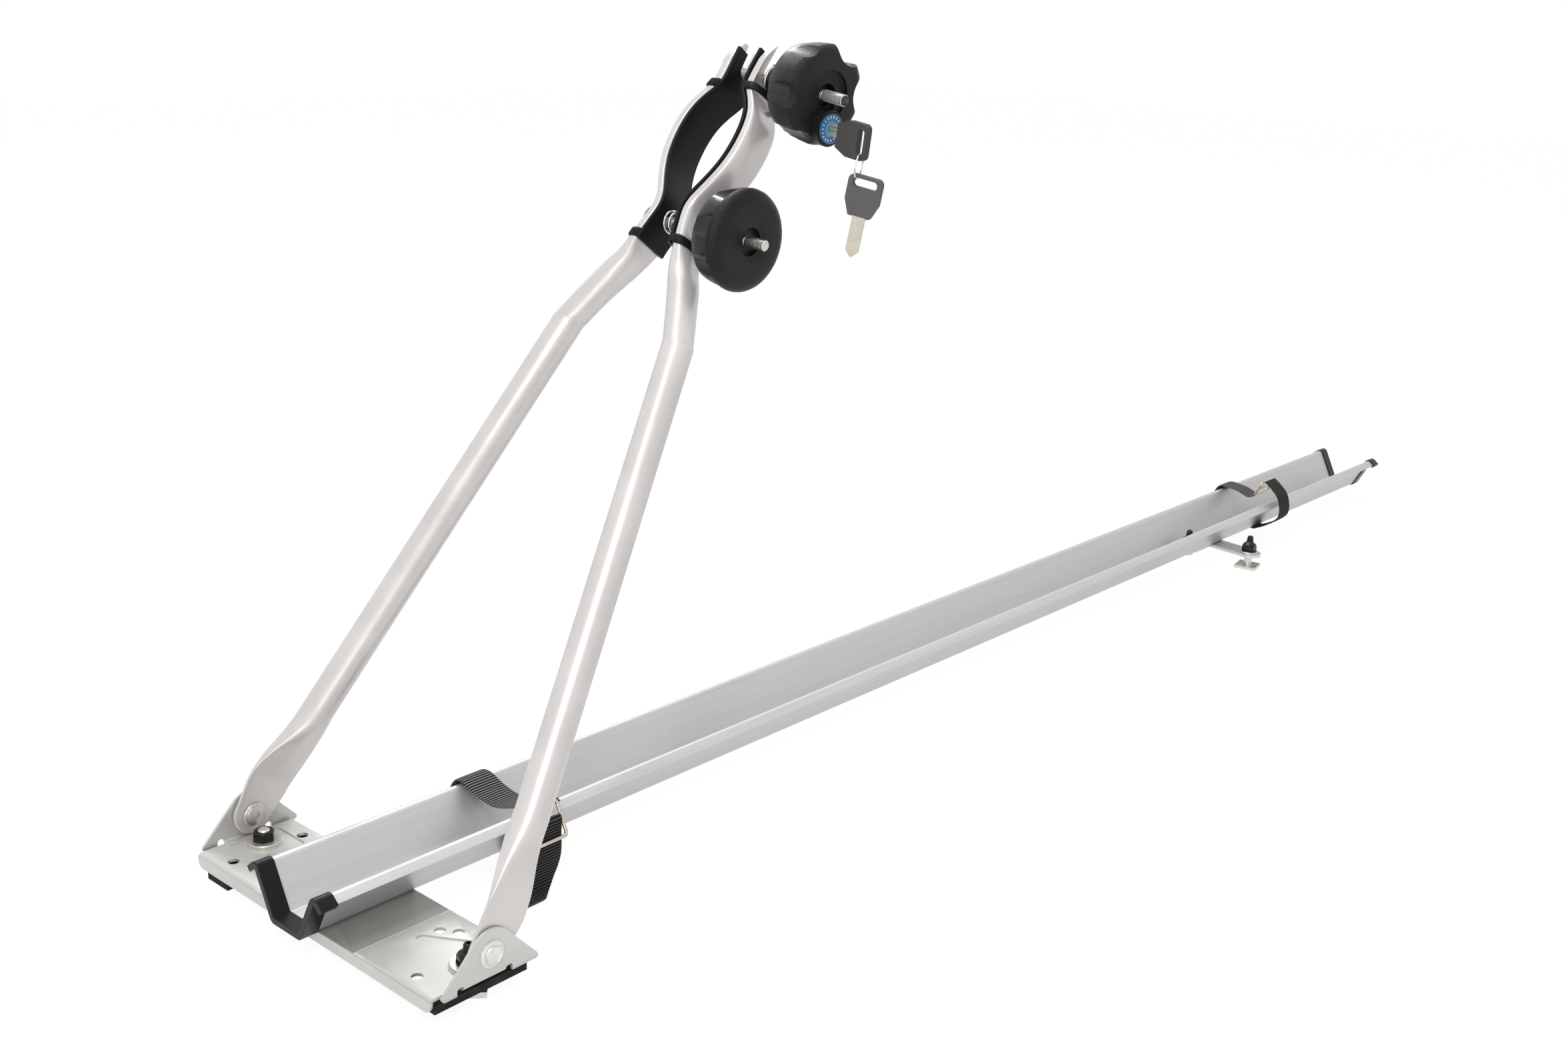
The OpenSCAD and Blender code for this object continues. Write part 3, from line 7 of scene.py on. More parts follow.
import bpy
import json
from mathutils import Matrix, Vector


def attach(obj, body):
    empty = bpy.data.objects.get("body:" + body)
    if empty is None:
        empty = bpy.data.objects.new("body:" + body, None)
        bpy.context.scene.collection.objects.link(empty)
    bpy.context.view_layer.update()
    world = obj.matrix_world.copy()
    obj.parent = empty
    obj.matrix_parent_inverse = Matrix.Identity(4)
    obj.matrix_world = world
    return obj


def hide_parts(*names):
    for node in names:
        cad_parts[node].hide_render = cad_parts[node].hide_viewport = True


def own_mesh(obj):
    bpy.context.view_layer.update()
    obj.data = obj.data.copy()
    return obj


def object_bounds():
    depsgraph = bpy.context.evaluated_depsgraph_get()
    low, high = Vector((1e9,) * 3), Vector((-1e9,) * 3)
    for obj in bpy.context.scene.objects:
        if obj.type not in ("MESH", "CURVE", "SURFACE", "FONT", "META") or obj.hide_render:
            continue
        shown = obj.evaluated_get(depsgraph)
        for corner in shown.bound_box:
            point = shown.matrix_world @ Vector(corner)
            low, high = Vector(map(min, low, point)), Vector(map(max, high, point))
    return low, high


bl_info = {
    "name": "Roof Mounted Bike Carrier",
    "version": (1, 0, 0),
    "blender": (4, 5, 0),
    "location": "View3D > Sidebar > Carrier",
    "description": "Builds the clamp arms, liners, straps, keys and finishes of a roof bike carrier",
    "category": "Object",
}

import json
import math

import bmesh
import bpy
import numpy as np
from mathutils import Matrix

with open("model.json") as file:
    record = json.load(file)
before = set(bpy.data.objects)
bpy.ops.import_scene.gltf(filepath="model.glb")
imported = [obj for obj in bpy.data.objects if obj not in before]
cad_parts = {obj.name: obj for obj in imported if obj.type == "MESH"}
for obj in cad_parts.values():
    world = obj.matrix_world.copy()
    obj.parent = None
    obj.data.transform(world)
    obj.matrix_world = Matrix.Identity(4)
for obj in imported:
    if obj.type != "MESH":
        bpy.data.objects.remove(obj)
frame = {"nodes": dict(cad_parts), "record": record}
CAD_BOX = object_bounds()
BODY_NODES = frame["record"]["behaviour"]["bodies"]

MM = 0.001


# The arms
PIVOT = np.array((5.0, 0.0, 14.6))
TILT_DEG = 36.0
TILT = math.radians(TILT_DEG)
LOWER_DROP = 3.5
UPPER_DROP = 8.5
LEG_LEN = 392.0
TUBE_D = 22.0
TAB_T = 3.5
TAB_R = 14.0
TAB_OUT = 123.75
BAND_HALF = 14.2
BEND_HALF = 52.8
JAW_HALF = 24.9
PINCH_HALF = 8.0
JAW_SHIFT = 9.5
BEND_SHIFT = 11.0
LINER_T = 2.6
SLOT_W = 9.6
FOOT_END = 80.0
ARM_RISE = 224.0
FOOT_HALF = TAB_OUT - 0.35
LEG_SLOPE = (FOOT_HALF - BEND_HALF) / LEG_LEN
DEPTH = TUBE_D * math.sqrt(1.0 + LEG_SLOPE**2)
JAW_OPEN = JAW_HALF - PINCH_HALF
JAW_START = PINCH_HALF + 0.29 * JAW_OPEN + LINER_T
JAW_AXIS = JAW_START + 6.0
PIN_Y = JAW_SHIFT + PINCH_HALF + LINER_T + 9.0
PIN_S = LEG_LEN + 207.3
LOWER_Y = JAW_SHIFT + PINCH_HALF + 3.0
LOWER_S = LEG_LEN + 84.5

# The bend's own curve ends at BEND_TO and the jaw's starts at JAW_FROM
BEND_TO, JAW_FROM = 60.0, 68.0

# Rows of [rise above the bend, value]
BEND_SHARE = ((0, 0.02), (6, 0.11), (18, 0.29), (30, 0.49), (42, 0.69), (52, 0.86), (60, 0.95), (68, 1))
JAW_SHARE = (
    (60, 0.36), (68, 0.29), (76, 0.18), (84, 0.06), (91, 0.0), (98, 0.07), (104, 0.23), (111, 0.44),
    (119, 0.66), (128, 0.85), (138, 0.965), (149, 1), (160, 0.94), (169, 0.78), (177, 0.51),
    (183, 0.24), (188, 0.06), (193, 0), (208, 0.01), (224, 0.06),
)
DEPTH_ROWS = (
    (0, DEPTH), (30, DEPTH), (42, 0.96 * DEPTH), (52, 0.79 * DEPTH), (60, 13), (68, 10.9), (78, 10),
    (90, 9.8), (150, 9.8), (176, 10.6), (190, 12.4), (200, 12.8), (216, 12.2), (224, 11),
)
WIDTH_ROWS = (
    (0, 11), (18, 11.2), (30, 11.6), (42, 12.4), (52, BAND_HALF - 1.9), (60, BAND_HALF - 0.9),
    (68, BAND_HALF - 0.2), (76, BAND_HALF), (208, BAND_HALF), (216, BAND_HALF - 2), (224, BAND_HALF - 5.6),
)
DENT_ROWS = ((0, 0), (162, 0), (170, 0.15), (178, 0.4), (186, 0.66), (196, 0.75), (224, 0.75))
FOOT_DEPTH = ((0, 3.5), (24, 3.5), (34, 6), (44, 10.5), (56, 16.5), (68, 20.8), (80, DEPTH))
FOOT_WIDTH = (
    (0, TAB_R), (10, TAB_R + 1.2), (20, TAB_R + 2.5), (32, TAB_R + 2.3), (44, TAB_R + 0.9),
    (58, 12.6), (70, 11.3), (80, 11),
)


def smooth_at(rows, x):
    """Value of a table at x: a cubic between rows with the slope of each row's neighbours."""
    i = 0
    while i < len(rows) - 2 and x >= rows[i + 1][0]:
        i += 1

    def slope(k):
        a, b = rows[max(k - 1, 0)], rows[min(k + 1, len(rows) - 1)]
        return (b[1] - a[1]) / (b[0] - a[0])

    (x0, y0), (x1, y1) = rows[i], rows[i + 1]
    h = x1 - x0
    u = min(max((x - x0) / h, 0.0), 1.0)
    return (
        y0 * (2 * u**3 - 3 * u**2 + 1) + slope(i) * h * (u**3 - 2 * u**2 + u)
        + y1 * (3 * u**2 - 2 * u**3) + slope(i + 1) * h * (u**3 - u**2)
    )


def blend(a, b, x):
    """How far x has come from a to b, held between 0 and 1."""
    return min(max((x - a) / (b - a), 0.0), 1.0)


def inner_above(rise):
    """Half distance between the arms' inner faces at a rise above the bend."""
    if rise >= JAW_FROM:
        return PINCH_HALF + JAW_OPEN * smooth_at(JAW_SHARE, rise) + LINER_T
    at = min(rise, BEND_TO)
    middle = BEND_HALF + (JAW_AXIS - BEND_HALF) * smooth_at(BEND_SHARE, at)
    u = blend(BEND_TO, JAW_FROM, rise)
    return (1 - u) * (middle - smooth_at(DEPTH_ROWS, at) / 2) + u * JAW_START


def section(s):
    """Inner face, depth, half width, dent and the powers of the inner and outer sides at S."""
    if s < FOOT_END:
        depth = smooth_at(FOOT_DEPTH, s)
        out = TAB_OUT
        if s >= 24:
            out += (FOOT_HALF - LEG_SLOPE * FOOT_END + DEPTH / 2 - TAB_OUT) * blend(24, FOOT_END, s)
        power = 0.3 + 0.7 * blend(40, FOOT_END, s)
        width = smooth_at(FOOT_WIDTH, max(s, 0.0))
        if s < 0:
            width = math.sqrt(max(TAB_R**2 - s * s, 0.16))
        return out - depth, depth, width, 0.0, power, power
    if s < LEG_LEN:
        return FOOT_HALF - LEG_SLOPE * s - DEPTH / 2, DEPTH, TUBE_D / 2, 0.0, 1.0, 1.0
    rise = s - LEG_LEN
    return (
        inner_above(rise), smooth_at(DEPTH_ROWS, rise), smooth_at(WIDTH_ROWS, rise),
        smooth_at(DENT_ROWS, rise), 1 - 0.78 * blend(36, 66, rise), 1 - 0.06 * blend(36, 66, rise),
    )


def lean(s, side):
    """Sideways lean of an arm at S: the legs lean with the bend, the jaw a little less."""
    if s < LEG_LEN:
        return side * BEND_SHIFT * blend(20, LEG_LEN, s)
    return side * (BEND_SHIFT + (JAW_SHIFT - BEND_SHIFT) * blend(20, 62, s - LEG_LEN))


def arm_ring(s, side, count, grow=0.0, dented=True):
    """Points (n, y, s) of an arm's section: x = w cos t, y = y0 + d (1/2 + sin^p t / 2)."""
    inner, depth, width, dent, p_in, p_out = section(s)
    width, depth_g = width + grow, depth + 2 * grow
    y0 = inner - grow + lean(s, side)
    t = 2 * np.pi * (np.arange(count) + 0.5) / count
    c, sn = np.cos(t), np.sin(t)
    v = np.sign(sn) * np.abs(sn) ** np.where(sn < 0, p_in, p_out)
    half = 0.5 + 0.5 * v
    k = np.where(sn > 0, 1 - (dent if dented else 0.0) * (1 - np.abs(c) ** 4), 1.0)
    y = y0 + depth_g * np.where(sn > 0, 0.12 + (half * k - 0.12), half)
    return np.stack((width * c, y, np.full(count, s)), axis=1)


def from_arms(points, side):
    """Points (n, y, s) of the right arm as points of the part; side -1 mirrors them to the left."""
    p = np.array(points, float)
    n, y, s = p[..., 0], p[..., 1], p[..., 2]
    c, w = math.cos(TILT), math.sin(TILT)
    return np.stack((PIVOT[0] + n * c + s * w, side * y, PIVOT[2] - n * w + s * c), axis=-1)


# Mesh helpers
def make_object(name, verts, faces, uv=None):
    """A mesh object from vertices in millimetres, its faces turned outward."""
    mesh = bpy.data.meshes.new(name)
    mesh.from_pydata((np.asarray(verts, float) * MM).tolist(), [], [list(f) for f in faces])
    if uv is not None:
        layer = mesh.uv_layers.new(name="UVMap")
        loops = np.empty(len(mesh.loops), dtype=np.int32)
        mesh.loops.foreach_get("vertex_index", loops)
        layer.data.foreach_set("uv", np.asarray(uv, np.float32)[loops].ravel())
    work = bmesh.new()
    work.from_mesh(mesh)
    bmesh.ops.recalc_face_normals(work, faces=work.faces[:])
    work.to_mesh(mesh)
    work.free()
    mesh.update()
    obj = bpy.data.objects.new(name, mesh)
    bpy.context.scene.collection.objects.link(obj)
    return obj


def soften(obj, degrees=32.0):
    """Shades a mesh smooth, with sharp edges where its faces turn by more than an angle."""
    obj.data.shade_smooth()
    obj.data.set_sharp_from_angle(angle=math.radians(degrees))
    return obj


def ring_faces(m, n, closed=False, caps=True):
    """Quads through m rings of n points, with an end face on each end of an open run."""
    faces = []
    for i in range(m if closed else m - 1):
        a, b = i * n, ((i + 1) % m) * n
        faces += [(a + j, b + j, b + (j + 1) % n, a + (j + 1) % n) for j in range(n)]
    if caps and not closed:
        faces += [tuple(range(n)), tuple((m - 1) * n + j for j in range(n))]
    return faces


def ring_object(name, rings, closed=False, uv=None):
    """An object through rings of points, of shape (m, n, 3)."""
    rings = np.asarray(rings, float)
    m, n = rings.shape[:2]
    return make_object(name, rings.reshape(-1, 3), ring_faces(m, n, closed), uv)


def join(name, parts):
    """One object from several meshes that touch."""
    mesh = bpy.data.meshes.new(name)
    work = bmesh.new()
    for part in parts:
        work.from_mesh(part.data)
        bpy.data.objects.remove(part)
    work.to_mesh(mesh)
    work.free()
    obj = bpy.data.objects.new(name, mesh)
    bpy.context.scene.collection.objects.link(obj)
    return obj


def cut(obj, cutter):
    """Takes a cutter away from an object, and removes it."""
    mod = obj.modifiers.new("cut", "BOOLEAN")
    mod.operation, mod.solver, mod.object = "DIFFERENCE", "EXACT", cutter
    graph = bpy.context.evaluated_depsgraph_get()
    mesh = bpy.data.meshes.new_from_object(obj.evaluated_get(graph))
    obj.modifiers.clear()
    obj.data = mesh
    bpy.data.objects.remove(cutter)
    return obj


def rounded_copy(node, width, degrees=34.0):
    """A copy of a node's mesh, merged, with its flat faces made whole and its edges rounded."""
    mesh = frame["nodes"][node].data.copy()
    bm = bmesh.new()
    bm.from_mesh(mesh)
    bmesh.ops.remove_doubles(bm, verts=bm.verts, dist=0.000002)
    bmesh.ops.dissolve_limit(bm, angle_limit=math.radians(0.6), verts=bm.verts, edges=bm.edges)
    bm.to_mesh(mesh)
    bm.free()
    obj = bpy.data.objects.new(node + "_rounded", mesh)
    bpy.context.scene.collection.objects.link(obj)
    for poly in mesh.polygons:
        poly.use_smooth = False
    edge = obj.modifiers.new("edges", "BEVEL")
    edge.width, edge.segments, edge.limit_method = width * MM, 2, "ANGLE"
    edge.angle_limit = math.radians(degrees)
    edge.use_clamp_overlap, edge.harden_normals = True, False
    return obj


def coat(obj, finish):
    """Gives a whole mesh one finish."""
    obj.data.materials.clear()
    obj.data.materials.append(finish.mat)
    for poly in obj.data.polygons:
        poly.material_index = 0


def unit(v):
    """Vectors of length 1."""
    v = np.asarray(v, float)
    return v / np.linalg.norm(v, axis=-1, keepdims=True)


def smooth_path(points, step, closed=False):
    """A Catmull-Rom curve through points, walked in equal steps of arc length."""
    p = np.asarray(points, float)
    if closed:
        q = np.vstack((p[-1:], p, p[:2]))
    else:
        q = np.vstack((2 * p[:1] - p[1:2], p, 2 * p[-1:] - p[-2:-1]))
    fine = []
    for i in range(1, len(q) - 2):
        a, b, c, d = q[i - 1 : i + 3]
        for u in np.linspace(0, 1, 24, endpoint=False):
            fine.append(0.5 * (2 * b + (c - a) * u + (2 * a - 5 * b + 4 * c - d) * u**2
                               + (3 * b - a - 3 * c + d) * u**3))
    fine.append(q[-2])
    fine = np.array(fine)
    run = np.concatenate(([0], np.cumsum(np.linalg.norm(np.diff(fine, axis=0), axis=1))))
    count = max(int(round(run[-1] / step)), 3)
    at = np.linspace(0, run[-1], count + 1)
    if closed:
        at = at[:-1]
    return np.stack([np.interp(at, run, fine[:, k]) for k in range(fine.shape[1])], axis=1)


def tube(name, path, radius, sides=16, closed=False):
    """A round wire along a path, its rings carried along without twist."""
    p = np.asarray(path, float)
    m = len(p)
    nxt, prv = np.roll(p, -1, 0), np.roll(p, 1, 0)
    if not closed:
        nxt[-1], prv[0] = p[-1], p[0]
    t = unit(nxt - prv)
    e = unit(np.cross(t[0], (0.31, 0.57, 0.76)))
    frames = []
    for i in range(m):
        e = unit(e - np.dot(e, t[i]) * t[i])
        frames.append(e)
    frames = np.array(frames)
    if closed:
        end = unit(frames[-1] - np.dot(frames[-1], t[0]) * t[0])
        f0 = np.cross(t[0], frames[0])
        twist = math.atan2(np.dot(end, f0), np.dot(end, frames[0]))
        turn = -twist * np.arange(m) / m
        f = np.cross(t, frames)
        frames = frames * np.cos(turn)[:, None] + f * np.sin(turn)[:, None]
    f = np.cross(t, frames)
    a = 2 * np.pi * np.arange(sides) / sides
    r = np.full(m, radius) if np.isscalar(radius) else np.asarray(radius)
    rings = p[:, None] + r[:, None, None] * (
        np.cos(a)[None, :, None] * frames[:, None] + np.sin(a)[None, :, None] * f[:, None])
    return ring_object(name, rings, closed)


def rounded_corners(points, radius, steps=7, closed=True):
    """A path in space whose corners are rounded with arcs of a radius."""
    p = [np.asarray(q, float) for q in points]
    n = len(p)
    out = []
    for i in range(n):
        if not closed and i in (0, n - 1):
            out.append(p[i])
            continue
        u, v = unit(p[i - 1] - p[i]), unit(p[(i + 1) % n] - p[i])
        half = math.acos(max(-1.0, min(1.0, float(u @ v)))) / 2
        back = radius / math.tan(half)
        a, b = p[i] + u * back, p[i] + v * back
        centre = p[i] + unit(u + v) * radius / math.sin(half)
        for k in range(steps + 1):
            w = k / steps
            d = unit((a - centre) * math.cos(w * (math.pi / 2 - half)))
            total = math.pi - 2 * half
            side = unit((b - centre) - (d @ (b - centre)) * d) if total > 1e-6 else v
            out.append(centre + radius * (d * math.cos(total * w) + side * math.sin(total * w)))
    return np.array(out)


# Finishes
class Value:
    """A number that a material's nodes work out; arithmetic on it adds Math nodes."""

    def __init__(self, finish, out):
        self.finish, self.out = finish, out

    def _math(self, kind, *terms):
        return self.finish.node("ShaderNodeMath", {"operation": kind}, dict(enumerate(terms)))

    def __add__(self, other):
        return self._math("ADD", self, other)

    def __radd__(self, other):
        return self._math("ADD", other, self)

    def __sub__(self, other):
        return self._math("SUBTRACT", self, other)

    def __rsub__(self, other):
        return self._math("SUBTRACT", other, self)

    def __mul__(self, other):
        return self._math("MULTIPLY", self, other)

    def __rmul__(self, other):
        return self._math("MULTIPLY", other, self)

    def __truediv__(self, other):
        return self._math("DIVIDE", self, other)

    def __rtruediv__(self, other):
        return self._math("DIVIDE", other, self)

    def __pow__(self, other):
        return self._math("POWER", self, other)

    def __abs__(self):
        return self._math("ABSOLUTE", self)

    def __mod__(self, other):
        return self._math("FLOORED_MODULO", self, other)

    def most(self, other):
        """The larger of two numbers."""
        return self._math("MAXIMUM", self, other)

    def wave(self):
        """The sine of an angle in radians."""
        return self._math("SINE", self)

    def over(self, a, b):
        """A smooth step from 0 at a to 1 at b."""
        return self.finish.node("ShaderNodeMapRange", {"interpolation_type": "SMOOTHSTEP"}, {
            "Value": self, "From Min": a, "From Max": b, "To Min": 0.0, "To Max": 1.0})


class Finish:
    """One procedural material."""

    def __init__(self, name):
        self.mat = bpy.data.materials.new(name)
        self.mat.use_nodes = True
        self.tree = self.mat.node_tree
        self.tree.nodes.clear()
        self.shader = self.tree.nodes.new("ShaderNodeBsdfPrincipled")
        self.end = self.tree.nodes.new("ShaderNodeOutputMaterial")
        self.tree.links.new(self.shader.outputs[0], self.end.inputs[0])
        self.place = self.node("ShaderNodeTexCoord", output="Object")

    def node(self, kind, settings=None, inputs=None, output=0):
        """Adds a node: its settings first, then the values or links of its sockets."""
        made = self.tree.nodes.new(kind)
        for key, value in (settings or {}).items():
            setattr(made, key, value)
        for key, value in (inputs or {}).items():
            socket = made.inputs[key]
            if isinstance(value, Value):
                self.tree.links.new(value.out, socket)
            else:
                socket.default_value = value
        return Value(self, made.outputs[output])

    def noise(self, scale, detail=2.0, rough=0.5, stretch=None):
        """Noise between 0 and 1 with cells of 1/scale metres, stretched along an axis on demand."""
        at = self.place
        if stretch:
            at = self.node("ShaderNodeVectorMath", {"operation": "MULTIPLY"}, {0: self.place, 1: stretch})
        return self.node("ShaderNodeTexNoise", None, {
            "Vector": at, "Scale": scale, "Detail": detail, "Roughness": rough}, "Fac")

    def cells(self, scale):
        """Distance to the nearest of scattered points, in cells of 1/scale metres."""
        return self.node("ShaderNodeTexVoronoi", None, {"Vector": self.place, "Scale": scale}, "Distance")

    def along(self, origin, axis):
        """How far a point lies from an origin along an axis, in metres."""
        away = self.node("ShaderNodeVectorMath", {"operation": "SUBTRACT"},
                         {0: self.place, 1: tuple(float(x) for x in origin)})
        return self.node("ShaderNodeVectorMath", {"operation": "DOT_PRODUCT"},
                         {0: away, 1: tuple(float(x) for x in axis)}, "Value")

    def mix(self, share, a, b):
        """A colour that goes from a to b."""
        a, b = (x if isinstance(x, Value) else (*x, 1.0) for x in (a, b))
        return self.node("ShaderNodeMix", {"data_type": "RGBA"}, {0: share, 6: a, 7: b}, 2)

    def bump(self, height, distance, strength=1.0):
        """A normal from a height, in metres of distance."""
        return self.node("ShaderNodeBump", None, {
            "Height": height, "Distance": distance, "Strength": strength})

    def set(self, **values):
        """Sets the shader's sockets, by name with _ for a space."""
        for key, value in values.items():
            socket = self.shader.inputs[key.replace("_", " ").title().replace("Ior", "IOR")]
            if isinstance(value, Value):
                self.tree.links.new(value.out, socket)
            elif isinstance(value, tuple):
                socket.default_value = (*value, 1.0)
            else:
                socket.default_value = value
        return self


def painted(name, colour, peel=0.22):
    """Silver paint: fine orange peel, flakes, faint clouds in its colour and a clear gloss."""
    f = Finish(name)
    cloud = f.noise(22, 3)
    flake = f.noise(3200, 1)
    dark = tuple(x * 0.90 for x in colour)
    tone = f.mix(cloud.over(0.35, 0.7), dark, colour)
    tone = f.mix(flake.over(0.5, 0.75) * 0.4, tone, tuple(min(1.0, x * 1.12) for x in colour))
    peeled = f.noise(620, 2)
    return f.set(base_color=tone, roughness=0.27 + 0.12 * f.noise(90, 3), metallic=0.35,
                 coat_weight=0.22 + 0.16 * cloud, coat_roughness=0.1,
                 normal=f.bump(peeled, 0.00002, peel))


def pressed(name, colour, trough, flange_x):
    """The plate's paint, with painted shade deeper in the trough (darkest on the near side), a painted
    highlight on its ramps and painted light on the front flange.

    The top's height tells trough, ramp and wing apart; the flange lies in front of flange_x.
    """
    f = painted(name, colour)
    x, y, z = (f.along((0, 0, 0), axis) for axis in ((1, 0, 0), (0, 1, 0), (0, 0, 1)))
    # floor masks the trough's floor, which gets painted shade; ramp masks the ramps, which get a painted
    # highlight.
    floor = (1 - z.over(-trough + 0.00005, -trough + 0.0004)) * z.over(-trough - 0.0004, -trough - 0.0001)
    ramp = z.over(-trough + 0.0001, -trough + 0.0005) * (1 - z.over(-0.0004, -0.0001))
    ramp = ramp * (1 - abs(y).over(0.055, 0.06))
    near_side_shade = 1 - y.over(-0.03, 0.03)
    # flange masks the front flange's face, which gets painted light.
    flange = (1 - x.over(flange_x, flange_x + 0.0006)) * (1 - z.over(-0.0014, -0.0006))
    tone = Value(f, f.shader.inputs["Base Color"].links[0].from_socket)
    # Painted shade in the trough, deeper on the near side, then a painted highlight on the ramps and painted
    # light on the front flange.
    tone = f.mix(floor * (0.35 + 0.3 * near_side_shade), tone, tuple(c * 0.5 for c in colour))
    tone = f.mix(ramp * 0.6, tone, tuple(min(1.0, c * 1.3) for c in colour))
    tone = f.mix(flange * 0.7, tone, (0.80, 0.78, 0.70))
    return f.set(base_color=tone)


def drawn_aluminium(name):
    """Extruded aluminium: fine die lines along X, with satin patches."""
    f = Finish(name)
    lines = f.noise(1500, 2, 0.6, (0.004, 1, 1))
    wide = f.noise(220, 2, 0.5, (0.01, 1, 1))
    cloud = f.noise(14, 3)
    tone = f.mix(lines.over(0.3, 0.7) * 0.6, (0.55, 0.545, 0.55), (0.66, 0.655, 0.66))
    tone = f.mix(cloud.over(0.4, 0.75) * 0.4, tone, (0.60, 0.595, 0.59))
    return f.set(base_color=tone, metallic=0.6, roughness=0.34 + 0.12 * cloud + 0.08 * wide,
                 normal=f.bump(lines * 0.7 + wide * 0.3, 0.00003, 0.45))


def plated(name, colour, rough=0.3, grain=900, metal=0.9):
    """Plated steel: fine scratches and a faint bloom."""
    f = Finish(name)
    bloom = f.noise(160, 3)
    scratch = f.noise(grain, 3, 0.7)
    tone = f.mix(bloom.over(0.3, 0.75), tuple(x * 0.86 for x in colour), colour)
    return f.set(base_color=tone, metallic=metal, roughness=rough + 0.18 * bloom,
                 normal=f.bump(scratch, 0.00003, 0.5))


def moulded(name, colour, rough=0.45, grain=1700, depth=0.00006, strength=0.6, coat=0.0):
    """Moulded plastic with an eroded grain that catches the light."""
    f = Finish(name)
    pebble = f.cells(grain)
    fine = f.noise(grain * 1.9, 2)
    cloud = f.noise(45, 3)
    light = tuple(x * 1.7 + 0.004 for x in colour)
    tone = f.mix(pebble.over(0.15, 0.6) * 0.5 + cloud * 0.3, colour, light)
    return f.set(base_color=tone, roughness=rough + 0.16 * pebble + 0.06 * cloud, coat_weight=coat,
                 coat_roughness=0.12, specular_ior_level=0.16,
                 normal=f.bump(pebble * 0.7 + fine * 0.3, depth, strength))


def rubber(name):
    """Rubber: matt, dusty in its hollows."""
    f = Finish(name)
    grit = f.noise(1300, 3, 0.7)
    dust = f.noise(120, 3)
    tone = f.mix(dust.over(0.4, 0.8), (0.009, 0.009, 0.009), (0.030, 0.029, 0.028))
    return f.set(base_color=tone, roughness=0.72 + 0.16 * grit, specular_ior_level=0.25,
                 normal=f.bump(grit, 0.0001, 0.7))


def vinyl(name, rough=0.16):
    """Dipped vinyl: glossy black with slow dimples."""
    f = Finish(name)
    slow = f.noise(240, 2)
    fine = f.noise(1500, 2)
    tone = f.mix(slow.over(0.3, 0.8), (0.004, 0.004, 0.004), (0.012, 0.011, 0.011))
    return f.set(base_color=tone, roughness=rough + 0.16 * slow, coat_weight=0.12 + 0.16 * slow,
                 coat_roughness=0.08, specular_ior_level=0.2,
                 normal=f.bump(slow * 0.6 + fine * 0.4, 0.0001, 0.35))


def grip_plastic(name, origin, axis, rim, pebble_scale):
    """Knob plastic: eroded on the domed face and glossy where scoops are cut into the rim.

    The distance from the knob's axis is r = sqrt(|p|^2 - u^2); below the rim's
    radius, behind the face, the surface is a scoop.
    """
    f = Finish(name)
    u = f.along(origin, axis)
    away = f.node("ShaderNodeVectorMath", {"operation": "SUBTRACT"}, {0: f.place, 1: tuple(origin)})
    length = f.node("ShaderNodeVectorMath", {"operation": "LENGTH"}, {0: away}, "Value")
    r = (length * length - u * u).most(0.0) ** 0.5
    behind = 1 - u.over(rim[1] - 0.0015, rim[1] + 0.0005)
    scoop = behind * (1 - r.over(rim[0] - 0.0032, rim[0] - 0.0016))
    pebble = f.cells(pebble_scale)
    fine = f.noise(pebble_scale * 1.7, 2)
    cloud = f.noise(60, 3)
    rough_part = 1 - scoop
    tone = f.mix(pebble.over(0.1, 0.6) * 0.6 + cloud * 0.3, (0.001, 0.001, 0.0012), (0.008, 0.007, 0.007))
    height = (pebble * 0.75 + fine * 0.25) * (rough_part * 0.85 + 0.15)
    return f.set(base_color=tone, roughness=0.24 + 0.10 * rough_part + 0.1 * pebble,
                 coat_weight=0.3 * scoop, coat_roughness=0.16, specular_ior_level=0.24,
                 normal=f.bump(height, 0.0004, 0.9))


def lock_enamel(name, origin, down, side, plug=False):
    """Blue plastic with pale ticks between two circles on its face."""
    f = Finish(name)
    x, y = f.along(origin, down), f.along(origin, side)
    r = (x * x + y * y) ** 0.5
    angle = f.node("ShaderNodeMath", {"operation": "ARCTAN2"}, {0: y, 1: x})
    spoke = abs((angle * (9 / math.pi)) % 1.0 - 0.5).over(0.22, 0.12)
    inner, outer = ((0.0032, 0.0052) if plug else (0.0068, 0.0086))
    band = r.over(inner, inner + 0.0003) * (1 - r.over(outer, outer + 0.0003))
    marks = spoke * band * (0.35 if plug else 1.0)
    cloud = f.noise(900, 3)
    tone = f.mix(cloud, (0.02, 0.10, 0.24) if not plug else (0.05, 0.19, 0.38), (0.05, 0.20, 0.40))
    tone = f.mix(marks, tone, (0.70, 0.78, 0.85))
    return f.set(base_color=tone, roughness=0.3 + 0.15 * cloud, coat_weight=0.2 + 0.1 * cloud,
                 normal=f.bump(marks, 0.0001, 0.5))


def nickel_blade(name, origin, across):
    """Nickel plate with two milled grooves along the blade, painted darker as shade."""
    f = Finish(name)
    x = f.along(origin, across)
    groove = (abs(x - 0.0008).over(0.0007, 0.0003)).most(abs(x + 0.0019).over(0.0006, 0.0003))
    scratch = f.noise(1400, 3, 0.7)
    # The grooves are painted darker as shade.
    tone = f.mix(groove * 0.6 + scratch * 0.2, (0.72, 0.66, 0.52), (0.36, 0.32, 0.25))
    return f.set(base_color=tone, metallic=0.85, roughness=0.3 + 0.2 * scratch,
                 normal=f.bump(0.2 * scratch - groove, 0.0003, 0.8))


